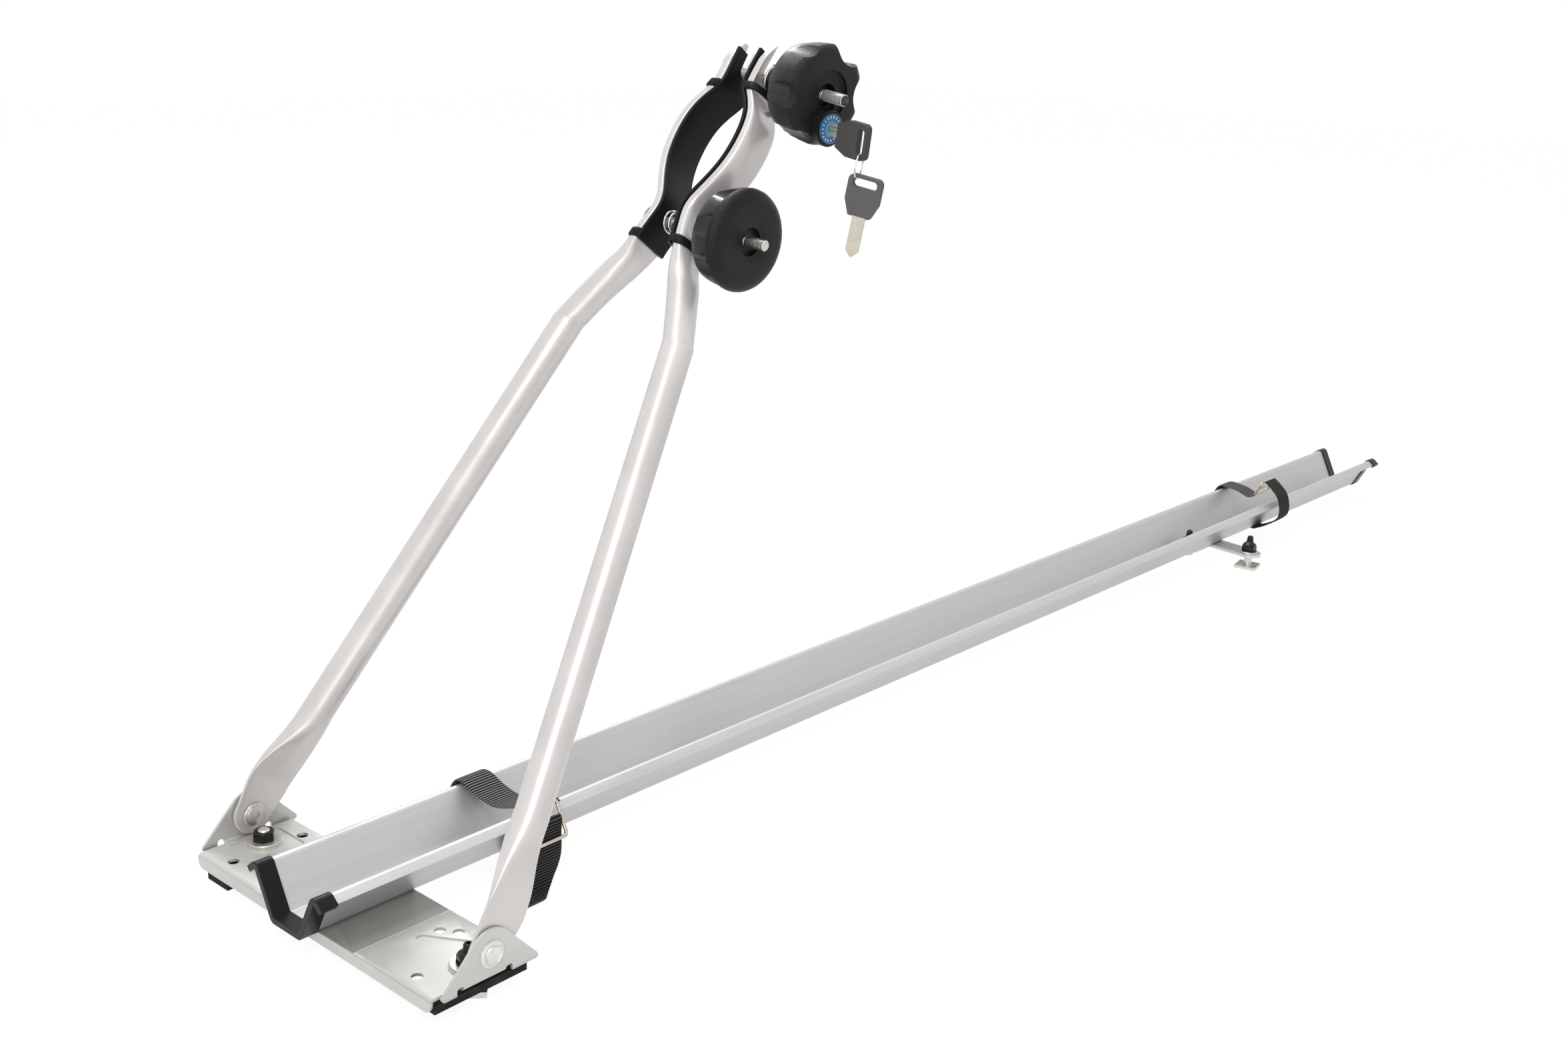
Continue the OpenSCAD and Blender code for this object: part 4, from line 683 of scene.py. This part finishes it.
def webbing(name, rib):
    """Woven webbing: ribs along the UV's second axis, crossed by fine yarns.

    Height = |sin(pi v / rib)| with yarns |sin(pi u / yarn)| offset on every other rib.
    The ribs' crests carry a painted pale highlight, strongest on the first stretch, over the rail.
    """
    f = Finish(name)
    uv = f.node("ShaderNodeUVMap", {"uv_map": "UVMap"})
    parts = f.node("ShaderNodeSeparateXYZ", None, {0: uv})
    u, v = parts, Value(f, parts.out.node.outputs[1])
    ribs = abs((v * (math.pi / rib)).wave())
    shift = (v / (2 * rib)) % 1.0
    yarn = abs(((u / 0.0013 + shift.over(0.45, 0.55) * 0.5) * math.pi).wave())
    fuzz = f.noise(2600, 3, 0.7)
    # top lifts the ribs' tops over their valleys, which is painted shade in the valleys; it is also the
    # bump's height.
    top = (ribs**0.7) * (0.6 + 0.4 * yarn)
    # crest masks a painted highlight on the ribs' crests, fading after the first stretch.
    crest = ribs.over(0.66, 0.95) * (0.45 + 0.55 * yarn) * (1 - 0.7 * v.over(0.12, 0.14))
    tone = f.mix(top * 0.7 + fuzz * 0.2, (0.0015, 0.0015, 0.0015), (0.012, 0.011, 0.011))
    tone = f.mix(crest * 0.85, tone, (0.36, 0.35, 0.34))
    return f.set(base_color=tone, roughness=0.6 + 0.25 * fuzz, specular_ior_level=0.12,
                 normal=f.bump(top + fuzz * 0.2, 0.0005, 0.9))


def threaded(name, origin, axis, pitch=0.00125):
    """Zinc plated bolt: a rolled thread along its axis, with painted shade between the crests.

    Height = |2 (u / pitch mod 1) - 1|, u being the distance along the axis.
    """
    f = Finish(name)
    u = f.along(origin, axis)
    crest = abs(((u / pitch) % 1.0) * 2.0 - 1.0)
    bloom = f.noise(300, 3)
    # Near-black painted shade between the thread's crests.
    tone = f.mix(crest.over(0.25, 0.75), (0.03, 0.028, 0.025), (0.76, 0.75, 0.71))
    tone = f.mix(bloom.over(0.4, 0.8) * 0.3, tone, (0.42, 0.41, 0.38))
    return f.set(base_color=tone, metallic=0.85, roughness=0.28 + 0.16 * bloom,
                 normal=f.bump(crest, 0.0006, 0.9))


# Bolt frames
def turn(axis, degrees):
    """A rotation about an axis as a 3 x 3 array."""
    return np.array(Matrix.Rotation(math.radians(degrees), 3, axis))


LOCK_DOWN = 20.4
LOCK_FACE_U = 101.8

# Each frame's third column points from the arms to the bolt's knob; the lock's first points down
ARMS = turn("Y", TILT_DEG)
LOWER_AT = PIVOT + ARMS @ np.array((0.0, LOWER_Y, LOWER_S))
LOWER = ARMS @ turn("X", 90.0 + LOWER_DROP)
UPPER_AT = PIVOT + ARMS @ np.array((0.0, PIN_Y, PIN_S))
UPPER = ARMS @ turn("X", 90.0 + UPPER_DROP)
LOCK = UPPER @ turn("Z", TILT_DEG - 90.0)
LOCK_AT = UPPER_AT + LOCK @ np.array((LOCK_DOWN, 0.0, 0.0))


# Properties
class CarrierShape(bpy.types.PropertyGroup):
    """Counts and sizes of the rebuilt surfaces."""

    arm_sides: bpy.props.IntProperty(
        name="Arm sides", description="Points round each clamp arm", default=72, min=24, max=128)
    arm_step: bpy.props.FloatProperty(
        name="Arm step", description="Distance between an arm's rings, in millimetres", default=2.4,
        min=1.0, max=8.0)
    rib: bpy.props.FloatProperty(
        name="Rib", description="Spacing of the webbing's ribs", default=0.0021, unit="LENGTH")
    strap_width: bpy.props.FloatProperty(
        name="Strap width", description="Width of both wheel straps", default=0.025, unit="LENGTH")
    wire: bpy.props.FloatProperty(
        name="Buckle wire", description="Radius of the buckles' wire", default=0.0013, unit="LENGTH")


class CarrierStage(bpy.types.PropertyGroup):
    """Levels of the studio round the carrier."""

    key_light: bpy.props.FloatProperty(
        name="Key light", description="Power of the large overhead softbox", default=24.0, unit="POWER")
    strip_light: bpy.props.FloatProperty(
        name="Strip light", description="Power of the tall strip beside the arms", default=7.0, unit="POWER")
    sky: bpy.props.FloatProperty(
        name="Surround", description="Brightness of the pale surround", default=0.46)
    lens: bpy.props.FloatProperty(
        name="Lens", description="Focal length of the camera on a 36 mm sensor", default=40.0028)


# Share of the floor's own white that the camera sees; the rest keeps the shadow
FLOOR_GLOW = 0.8


def seen_rays(tree, share):
    """Up to the share given, for rays from the camera and in reflections and glass."""
    path = tree.nodes.new("ShaderNodeLightPath")
    out = path.outputs["Is Camera Ray"]
    for name in ("Is Glossy Ray", "Is Transmission Ray"):
        most = tree.nodes.new("ShaderNodeMath")
        most.operation = "MAXIMUM"
        tree.links.new(out, most.inputs[0])
        tree.links.new(path.outputs[name], most.inputs[1])
        out = most.outputs[0]
    part = tree.nodes.new("ShaderNodeMath")
    part.operation = "MULTIPLY"
    part.inputs[1].default_value = share
    tree.links.new(out, part.inputs[0])
    return part.outputs[0]


# Operators
class CARRIER_OT_arms(bpy.types.Operator):
    """Builds both clamp arms as smooth pressed tubes"""

    bl_idname = "carrier.arms"
    bl_label = "Build the clamp arms"

    def execute(self, context):
        shape = context.scene.carrier_shape
        paint = painted("arm_paint_look", (0.64, 0.615, 0.605))
        for side, name, node, body in ((-1, "arm_near", "arm_left", "clamp_jaw"),
                                       (1, "arm_far", "arm_right", "clamp_frame")):
            cap = [-TAB_R * math.cos(a) for a in np.linspace(0.03, math.pi / 2, 14)[:-1]]
            places = cap + list(np.arange(0.0, LEG_LEN, shape.arm_step))
            places += list(np.arange(LEG_LEN, LEG_LEN + ARM_RISE, shape.arm_step * 0.75))
            places.append(LEG_LEN + ARM_RISE)
            rings = np.array([arm_ring(s, side, shape.arm_sides) for s in places])
            arm = ring_object(name, from_arms(rings, side))
            arm = soften(cut(arm, self.slot_cutter(side)), 30)
            coat(arm, paint)
            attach(arm, body)
            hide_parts(node)
        return {"FINISHED"}

    @staticmethod
    def slot_cutter(side):
        """The open slot for the upper bolt: a round bottom and two straight sides."""
        y = JAW_SHIFT + (PINCH_HALF if side > 0 else -PINCH_HALF - LINER_T - 2)
        s0 = PIN_S - (PIN_Y - y) * math.tan(math.radians(UPPER_DROP))
        r = SLOT_W / 2
        arc = [(r * math.cos(a), s0 + r * math.sin(a)) for a in np.linspace(math.pi, 2 * math.pi, 25)]
        outline = arc + [(r, s0 + 60), (-r, s0 + 60)]
        rings = [[(n, side * yy, s) for n, s in outline] for yy in (y - 20, y + 20)]
        return ring_object("slot_cutter", from_arms(np.array(rings), side))


class CARRIER_OT_liners(bpy.types.Operator):
    """Builds the jaw liners with their edges and clips"""

    bl_idname = "carrier.liners"
    bl_label = "Build the jaw liners"

    def execute(self, context):
        look = moulded("liner_look", (0.003, 0.003, 0.0032), rough=0.36, grain=2400, depth=0.00005)
        for side, name, node, body in ((-1, "liner_near", "jaw_liner_left", "clamp_jaw"),
                                       (1, "liner_far", "jaw_liner_right", "clamp_frame")):
            half = BAND_HALF + 0.5
            rises = np.arange(63.0, 217.01, 2.0)
            r = 0.5
            prof = []
            for cx, cy, a0 in ((half - r, LINER_T - r, 0), (-half + r, LINER_T - r, 90),
                               (-half + r, r, 180), (half - r, r, 270)):
                prof += [(cx + r * math.cos(math.radians(a0 + a)), cy + r * math.sin(math.radians(a0 + a)))
                         for a in (0, 30, 60, 90)]
            rings = []
            for k in rises:
                base = inner_above(k) - LINER_T + side * JAW_SHIFT
                rings.append([(x, base + y, LEG_LEN + k) for x, y in prof])
            band = ring_object(name, from_arms(np.array(rings), side))
            band = cut(band, CARRIER_OT_arms.slot_cutter(side))
            clips = [self.clip(rise, end, side) for rise, end in ((63.7, 70.2), (184.2, 190.4))]
            liner = soften(join(name, [band, *clips]), 40)
            coat(liner, look)
            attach(liner, body)
            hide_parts(node)
        return {"FINISHED"}

    @staticmethod
    def clip(rise, end, side, thick=1.6, gap=0.15):
        """A band with rounded edges round an arm's outer side, between two rises."""
        rings = []
        for u in np.linspace(0, 1, 9):
            edge = math.sqrt(max(1 - (2 * u - 1) ** 4, 0.0))
            s = LEG_LEN + rise + (end - rise) * u
            outer = arm_ring(s, side, 72, gap + 0.35 + (thick - 0.35) * edge, dented=False)
            inner = arm_ring(s, side, 72, gap, dented=False)
            order = [(j - 8) % 72 for j in range(52)]
            rings.append(np.vstack((outer[order], inner[order[::-1]])))
        return ring_object("clip", from_arms(np.array(rings), side))


class CARRIER_OT_spring(bpy.types.Operator):
    """Builds the conical spring between the jaw's lower ends"""

    bl_idname = "carrier.spring"
    bl_label = "Build the spring"

    # Degrees by which the jaw closes on the spring, and the room left beside it then
    CLOSING = 1.207
    ROOM = 1.4

    def execute(self, context):
        wire = 0.75
        pinch = PINCH_HALF + 0.1 * JAW_OPEN
        u0, u1 = LOWER_Y - JAW_SHIFT - pinch + 0.7, LOWER_Y - JAW_SHIFT + pinch - 0.7
        small, wide, curls = 4 + 0.1 + wire + 0.6, 8.0, 4
        k = np.linspace(0, 1, curls * 40 + 1)
        r = wide + (small - wide) * k
        a = 2 * np.pi * curls * k
        local = np.stack((r * np.cos(a), r * np.sin(a), u0 + wire + (u1 - u0 - 2 * wire) * k), axis=1)
        spring = tube("jaw_spring", LOWER_AT + local @ LOWER.T, wire, 12)
        coat(soften(spring, 60), plated("spring_look", (0.80, 0.80, 0.80), 0.12, 1400, 1.0))
        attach(spring, "clamp_frame")
        left = u1 - u0 - LOWER_S * math.radians(self.CLOSING) - self.ROOM
        tuple(map(float, (LOWER_AT + LOWER[:, 2] * u0) * MM))
        float(left / (u1 - u0))
        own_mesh(spring)
        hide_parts("lower_spring")
        return {"FINISHED"}


RAIL_Y, RAIL_Z, RAIL_H = 2.4, -1.5, 34.4
RAIL_TOP = RAIL_Z + RAIL_H
LIP_HALF, WALL_HALF, FLOOR_HALF = 37.9, 30.9, 14.4
LIP_Z = RAIL_TOP - 7.4
UNDER_Z = RAIL_Z - 1.1
NEAR_LIP, FAR_LIP = RAIL_Y - LIP_HALF, RAIL_Y + LIP_HALF
NEAR_TOP, FAR_TOP = RAIL_Y - WALL_HALF, RAIL_Y + WALL_HALF
NEAR_FLOOR, FAR_FLOOR = RAIL_Y - FLOOR_HALF, RAIL_Y + FLOOR_HALF
FRONT_X, REAR_X = 120.5, 1191.5

# Points (y, z, sideways shift) of the straps' middle lines
FRONT_PATH = (
    (NEAR_LIP - 3.4, RAIL_TOP + 3.2, 3), (NEAR_LIP + 1.5, RAIL_TOP + 4.4, 3), (NEAR_TOP, RAIL_TOP + 3.6, 3),
    (NEAR_TOP + 6, RAIL_TOP + 0.6, 3), (NEAR_TOP + 17, RAIL_TOP - 3.8, 2.6), (RAIL_Y - 2, RAIL_TOP - 6.6, 2),
    (RAIL_Y + 13, RAIL_TOP - 4, 1), (FAR_TOP - 7, RAIL_TOP + 0.4, 0.4), (FAR_TOP - 1, RAIL_TOP + 1.7, 0),
    (FAR_TOP + 4, RAIL_TOP + 0.4, 0), (FAR_LIP + 0.9, RAIL_TOP - 4.2, 0), (FAR_LIP + 1.6, LIP_Z - 1, 0),
    (FAR_LIP - 3.4, LIP_Z - 9, 0), (FAR_FLOOR + 6.4, UNDER_Z + 5.2, 0), (FAR_FLOOR + 2.4, UNDER_Z + 1, 0),
    (FAR_FLOOR - 1.8, UNDER_Z, 0), (NEAR_FLOOR + 2, UNDER_Z, 0), (NEAR_FLOOR - 3, UNDER_Z + 0.9, -1),
    (NEAR_LIP + 5.2, RAIL_Z + 7.4, -2), (NEAR_LIP - 4.4, RAIL_Z + 16.4, -3),
    (NEAR_LIP - 7.6, RAIL_Z + 23.6, -4), (NEAR_LIP - 8.2, RAIL_Z + 30.2, -4),
    (NEAR_LIP - 10.6, RAIL_Z + 32.6, -4), (NEAR_LIP - 13, RAIL_Z + 30.6, -4.4),
    (NEAR_LIP - 13.2, RAIL_Z + 22, -5), (NEAR_LIP - 13.8, RAIL_Z + 13, -5.4),
    (NEAR_LIP - 13.6, RAIL_Z + 4.5, -6), (NEAR_LIP - 13, RAIL_Z - 3.5, -8.4),
    (NEAR_LIP - 13.4, RAIL_Z - 9, -12), (NEAR_LIP - 16.2, RAIL_Z - 12.4, -17),
    (NEAR_LIP - 20.5, RAIL_Z - 13.7, -23), (NEAR_LIP - 25.5, RAIL_Z - 13.9, -29),
)
REAR_PATH = (
    (NEAR_TOP + 19, RAIL_TOP + 1.6, 0), (RAIL_Y - 4, RAIL_TOP - 1.6, 2), (RAIL_Y + 10, RAIL_TOP + 1.4, 5),
    (FAR_TOP - 8, RAIL_TOP + 2.4, 7.5), (FAR_TOP - 1, RAIL_TOP + 2.4, 9), (FAR_TOP + 4, RAIL_TOP + 0.8, 9.6),
    (FAR_LIP + 0.9, RAIL_TOP - 4.2, 9.8), (FAR_LIP + 1.6, LIP_Z - 1, 9.8), (FAR_LIP - 3.4, LIP_Z - 9, 9),
    (FAR_FLOOR + 6.4, UNDER_Z + 5.2, 8), (FAR_FLOOR + 2.4, UNDER_Z + 1, 7), (FAR_FLOOR - 1.8, UNDER_Z, 6),
    (NEAR_FLOOR + 2, UNDER_Z, 2), (NEAR_FLOOR - 3, UNDER_Z + 0.9, 1), (NEAR_LIP + 8, RAIL_Z + 6.4, 0),
    (NEAR_LIP - 3.2, RAIL_Z + 15, 0), (NEAR_LIP - 6.4, RAIL_Z + 22, 0), (NEAR_LIP - 5.6, RAIL_Z + 31, 0),
    (NEAR_LIP - 1.6, RAIL_Z + 41, 0), (NEAR_TOP + 0.5, RAIL_Z + 49.6, 0), (NEAR_TOP + 7.4, RAIL_Z + 54.4, 0),
)


# Points (y, z) of the buckles' side wires: the free end, the bar, the end at the rail
FRONT_WIRE = (
    (NEAR_LIP - 5.4, RAIL_TOP + 6.2), (NEAR_LIP - 10.6, RAIL_Z + 29.4), (NEAR_LIP - 16.2, RAIL_Z + 19.2),
)
REAR_WIRE = (
    (NEAR_TOP + 16.5, RAIL_TOP + 4), (NEAR_TOP + 12.4, RAIL_TOP + 12), (NEAR_TOP + 9.4, RAIL_TOP + 19.2),
)


class CARRIER_OT_straps(bpy.types.Operator):
    """Builds the ribbed wheel straps"""

    bl_idname = "carrier.straps"
    bl_label = "Build the wheel straps"

    def execute(self, context):
        shape = context.scene.carrier_shape
        look = webbing("webbing_look", shape.rib)
        for name, path, x, node, body in (
            ("strap_front", FRONT_PATH, FRONT_X, "front_strap", "front_wheel_strap"),
            ("strap_rear", REAR_PATH, REAR_X, "rear_strap", "rear_wheel_strap"),
        ):
            strap = soften(self.strap(name, path, x, shape.strap_width / MM, shape.rib / MM), 50)
            coat(strap, look)
            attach(strap, body)
            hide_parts(node)
        return {"FINISHED"}

    @staticmethod
    def strap(name, path, x0, width, rib):
        """A band of webbing whose faces rise and fall with its ribs.

        Half thickness h(v) = 0.52 + 0.27 |sin(pi v / rib)|, rounded off at both edges.
        """
        line = smooth_path(path, rib / 6)
        m = len(line)
        run = np.concatenate(([0], np.cumsum(np.linalg.norm(np.diff(line[:, :2], axis=0), axis=1))))
        tangent = unit(np.gradient(line[:, :2], axis=0))
        normal = np.stack((-tangent[:, 1], tangent[:, 0]), axis=1)
        a = np.linspace(-1, 1, 19)
        across = np.sign(a) * np.abs(a) ** 0.8
        edge = (1 - np.abs(across) ** 8) ** 0.5
        ribs = np.abs(np.sin(np.pi * run / rib)) ** 0.8
        half = 0.52 + 0.27 * ribs
        u = np.concatenate((across, across[-2:0:-1]))
        sign = np.concatenate((np.ones(19), -np.ones(17)))
        e = np.concatenate((edge, edge[-2:0:-1]))
        off = half[:, None] * (sign * e)[None, :]
        xs = x0 + line[:, 2][:, None] + u[None, :] * width / 2
        ys = line[:, 0][:, None] + normal[:, 0][:, None] * off
        zs = line[:, 1][:, None] + normal[:, 1][:, None] * off
        rings = np.stack((xs, ys, zs), axis=-1)
        uv = np.stack((np.broadcast_to(u * width / 2 * MM, (m, len(u))),
                       np.broadcast_to(run[:, None] * MM, (m, len(u)))), axis=-1)
        return ring_object(name, rings, uv=uv.reshape(-1, 2))


class CARRIER_OT_buckles(bpy.types.Operator):
    """Builds the bent wire buckles"""

    bl_idname = "carrier.buckles"
    bl_label = "Build the buckles"

    def execute(self, context):
        shape = context.scene.carrier_shape
        look = plated("buckle_look", (0.60, 0.53, 0.43), 0.16, 1500, 1.0)
        wire = shape.wire / MM
        half = shape.strap_width / MM / 2 + wire + 0.8
        for name, points, x, node, body in (
            ("buckle_front", FRONT_WIRE, FRONT_X - 4.7, "front_buckle", "front_wheel_strap"),
            ("buckle_rear", REAR_WIRE, REAR_X, "rear_buckle", "rear_wheel_strap"),
        ):
            right = [(x + half, y, z) for y, z in points]
            left = [(x - half, y, z) for y, z in points]
            loop = rounded_corners(right + left[::-1], 2.6)
            outer = tube(name, smooth_path(loop, 0.8, closed=True), wire, 14, closed=True)
            y, z = points[1]
            bar = tube("bar", [(x - half, y, z), (x, y, z), (x + half, y, z)], wire * 0.95, 14)
            buckle = soften(join(name, [outer, bar]), 50)
            coat(buckle, look)
            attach(buckle, body)
            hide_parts(node)
        return {"FINISHED"}


class CARRIER_OT_finishes(bpy.types.Operator):
    """Gives every part of the frame its finish"""

    bl_idname = "carrier.finishes"
    bl_label = "Finish the frame's parts"

    def execute(self, context):
        lower_axis, upper_axis = LOWER[:, 2], UPPER[:, 2]
        lock_face = (LOCK_AT + LOCK[:, 2] * LOCK_FACE_U) * MM
        zinc = plated("zinc_look", (0.72, 0.71, 0.66), 0.26)
        looks = {
            "base_plate": pressed("plate_paint_look", (0.60, 0.59, 0.565), 0.0015, -0.0485),
            "rail": drawn_aluminium("rail_look"),
            "pad_left": rubber("pad_look"),
            "rear_bar": plated("bar_look", (0.70, 0.70, 0.69), 0.34, 500),
            "front_end_cap": moulded("end_cap_look", (0.001, 0.001, 0.001), 0.22, 1600, 0.00008, 0.6, 0.12),
            "front_cap_nut_left": vinyl("cap_look"),
            "pivot_rivet_left": plated("rivet_look", (0.74, 0.73, 0.71), 0.24, 700),
            "upper_bolt_pin": painted("pin_paint_look", (0.64, 0.62, 0.61)),
            "lower_knob": grip_plastic("lower_knob_look", LOWER_AT * MM, lower_axis, (0.0345, 0.0745), 1150),
            "upper_knob": grip_plastic("upper_knob_look", UPPER_AT * MM, upper_axis, (0.0335, 0.0885), 2100),
            # The knob inserts are coloured near black, as painted shade of the holes they sit in.
            "lower_knob_insert": plated("insert_painted_shade_look", (0.030, 0.025, 0.018), 0.45, 900, 0.6),
            "lower_bolt": threaded("lower_bolt_look", LOWER_AT * MM, lower_axis),
            "upper_bolt": threaded("upper_bolt_look", UPPER_AT * MM, upper_axis),
            "lock_barrel": lock_enamel("lock_barrel_look", lock_face, LOCK[:, 0], LOCK[:, 1]),
            "lock_plug": lock_enamel("lock_plug_look", lock_face, LOCK[:, 0], LOCK[:, 1], True),
            "key_blade": nickel_blade("key_blade_look", lock_face, LOCK[:, 0]),
            "spare_key_blade": plated("spare_blade_look", (0.66, 0.62, 0.52), 0.3),
            "key_head": moulded("key_head_look", (0.050, 0.047, 0.047), 0.5, 2600, 0.00004),
            "spare_key_head": moulded("spare_head_look", (0.085, 0.082, 0.082), 0.5, 2600, 0.00004),
            "key_ring": plated("ring_look", (0.78, 0.77, 0.72), 0.12, 1500, 1.0),
        }
        for same, first in (
            ("pad_right", "pad_left"), ("rear_end_cap", "front_end_cap"),
            ("pivot_rivet_right", "pivot_rivet_left"), ("front_cap_nut_right", "front_cap_nut_left"),
            ("rear_cap_nut", "front_cap_nut_left"), ("rear_pivot_nut", "front_cap_nut_left"),
            ("upper_knob_insert", "lower_knob_insert"),
        ):
            looks[same] = looks[first]
        rounded = {
            "base_plate": 0.35, "rail": 0.35, "front_end_cap": 0.6, "rear_end_cap": 0.6, "lower_knob": 1.1,
            "upper_knob": 0.9, "key_head": 0.7, "spare_key_head": 0.7, "rear_bar": 0.5,
        }
        body_of = {node: body for body, nodes in BODY_NODES.items() for node in nodes}
        hidden = {"arm_left", "arm_right", "jaw_liner_left", "jaw_liner_right", "lower_spring", "front_strap",
                  "rear_strap", "front_buckle", "rear_buckle"}
        for name, obj in list(frame["nodes"].items()):
            if name in hidden:
                continue
            look = looks.get(name, zinc)
            if name in rounded:
                copy = soften(rounded_copy(name, rounded[name]), 38)
                coat(copy, look)
                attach(copy, body_of[name])
                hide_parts(name)
                continue
            coat(obj, look)
        return {"FINISHED"}


class CARRIER_OT_stage(bpy.types.Operator):
    """Lays the floor and sets the lights and the camera"""

    bl_idname = "carrier.stage"
    bl_label = "Set the stage"

    CAMERA_AT = (-0.565131675, -0.82750781, 0.562931514)
    RIGHT = (0.66089602, -0.74947877, 0.03870437)
    UP = (0.19993185, 0.22554167, 0.95349788)
    LOOK = (0.72335587, 0.62242471, -0.29890427)

    def execute(self, context):
        stage = context.scene.carrier_stage
        self.floor()
        self.surround(stage.sky)
        self.softbox("overhead", (0.3, 0.3, 2.1), (0.3, 0.0, 0.2), (1.1, 0.6), stage.key_light * 0.7)
        self.softbox("rim", (1.05, 0.95, 1.35), (0.32, 0.0, 0.45), (0.4, 0.4), stage.key_light * 0.32)
        self.softbox("flash", (-0.5, -0.78, 1.05), (0.3, -0.05, 0.4), (0.12, 0.12), stage.key_light * 0.1)
        self.softbox("strip", (-0.75, -0.55, 1.55), (0.3, 0.0, 0.42), (0.16, 1.0), stage.strip_light)
        self.softbox("front", (-1.7, -1.3, 0.3), (0.1, 0.0, 0.05), (1.2, 0.8), stage.strip_light * 1.3)
        data = bpy.data.cameras.new("camera")
        data.sensor_width, data.lens, data.clip_start = 36.0, stage.lens, 0.01
        cam = bpy.data.objects.new("camera", data)
        cam.matrix_world = Matrix((
            (self.RIGHT[0], self.UP[0], -self.LOOK[0], self.CAMERA_AT[0]),
            (self.RIGHT[1], self.UP[1], -self.LOOK[1], self.CAMERA_AT[1]),
            (self.RIGHT[2], self.UP[2], -self.LOOK[2], self.CAMERA_AT[2]),
            (0, 0, 0, 1)))
        context.scene.collection.objects.link(cam)
        context.scene.camera = cam
        context.scene.view_settings.view_transform = "Standard"
        return {"FINISHED"}

    @staticmethod
    def floor():
        """A pale floor just under the feet, plain white to the camera."""
        low = CAD_BOX[0][2] - 0.0002
        mesh = bpy.data.meshes.new("floor")
        mesh.from_pydata([(-6, -6, low), (8, -6, low), (8, 6, low), (-6, 6, low)], [], [(0, 1, 2, 3)])
        floor = bpy.data.objects.new("floor", mesh)
        bpy.context.scene.collection.objects.link(floor)
        mat = bpy.data.materials.new("floor_look")
        mat.use_nodes = True
        tree = mat.node_tree
        tree.nodes.clear()
        seen = seen_rays(tree, FLOOR_GLOW)
        plain = tree.nodes.new("ShaderNodeBsdfDiffuse")
        plain.inputs[0].default_value = (0.84, 0.84, 0.84, 1)
        glow = tree.nodes.new("ShaderNodeEmission")
        glow.inputs[1].default_value = 1.15
        both = tree.nodes.new("ShaderNodeMixShader")
        end = tree.nodes.new("ShaderNodeOutputMaterial")
        tree.links.new(seen, both.inputs[0])
        tree.links.new(plain.outputs[0], both.inputs[1])
        tree.links.new(glow.outputs[0], both.inputs[2])
        tree.links.new(both.outputs[0], end.inputs[0])
        mesh.materials.append(mat)

    @staticmethod
    def surround(level):
        """A pale world that lights from all sides and is white to the camera."""
        world = bpy.data.worlds.new("surround")
        bpy.context.scene.world = world
        world.use_nodes = True
        tree = world.node_tree
        tree.nodes.clear()
        seen = seen_rays(tree, 1.0)
        soft, white = (tree.nodes.new("ShaderNodeBackground") for _ in range(2))
        soft.inputs[0].default_value = (1.0, 0.995, 0.985, 1)
        soft.inputs[1].default_value = level
        white.inputs[0].default_value = (1, 1, 1, 1)
        white.inputs[1].default_value = 1.0
        both = tree.nodes.new("ShaderNodeMixShader")
        end = tree.nodes.new("ShaderNodeOutputWorld")
        tree.links.new(seen, both.inputs[0])
        tree.links.new(soft.outputs[0], both.inputs[1])
        tree.links.new(white.outputs[0], both.inputs[2])
        tree.links.new(both.outputs[0], end.inputs[0])

    @staticmethod
    def softbox(name, at, to, size, power):
        """A rectangular light that faces a point."""
        data = bpy.data.lights.new(name, "AREA")
        data.shape, data.size, data.size_y, data.energy = "RECTANGLE", size[0], size[1], power
        light = bpy.data.objects.new(name, data)
        way = Matrix.Translation(at).to_translation() - Matrix.Translation(to).to_translation()
        light.location = at
        light.rotation_euler = way.to_track_quat("Z", "Y").to_euler()
        bpy.context.scene.collection.objects.link(light)


class CARRIER_PT_panel(bpy.types.Panel):
    """The carrier's settings and the steps that build it"""

    bl_label = "Carrier"
    bl_idname = "CARRIER_PT_panel"
    bl_space_type = "VIEW_3D"
    bl_region_type = "UI"
    bl_category = "Carrier"

    def draw(self, context):
        for group in (context.scene.carrier_shape, context.scene.carrier_stage):
            for key in group.bl_rna.properties.keys():
                if key not in {"rna_type", "name"}:
                    self.layout.prop(group, key)
        for step in STEPS:
            self.layout.operator(step.bl_idname)


STEPS = (CARRIER_OT_stage, CARRIER_OT_arms, CARRIER_OT_liners, CARRIER_OT_spring, CARRIER_OT_straps,
         CARRIER_OT_buckles, CARRIER_OT_finishes)
CLASSES = (CarrierShape, CarrierStage, *STEPS, CARRIER_PT_panel)


def register():
    """Adds the classes and the scene's settings."""
    for cls in CLASSES:
        bpy.utils.register_class(cls)
    bpy.types.Scene.carrier_shape = bpy.props.PointerProperty(type=CarrierShape)
    bpy.types.Scene.carrier_stage = bpy.props.PointerProperty(type=CarrierStage)


def unregister():
    """Takes the settings and the classes away."""
    del bpy.types.Scene.carrier_stage
    del bpy.types.Scene.carrier_shape
    for cls in reversed(CLASSES):
        bpy.utils.unregister_class(cls)


def main():
    """Builds the whole model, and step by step."""
    register()
    for step in STEPS:
        group, name = step.bl_idname.split(".")
        getattr(getattr(bpy.ops, group), name)()


if __name__ == "__main__":
    main()
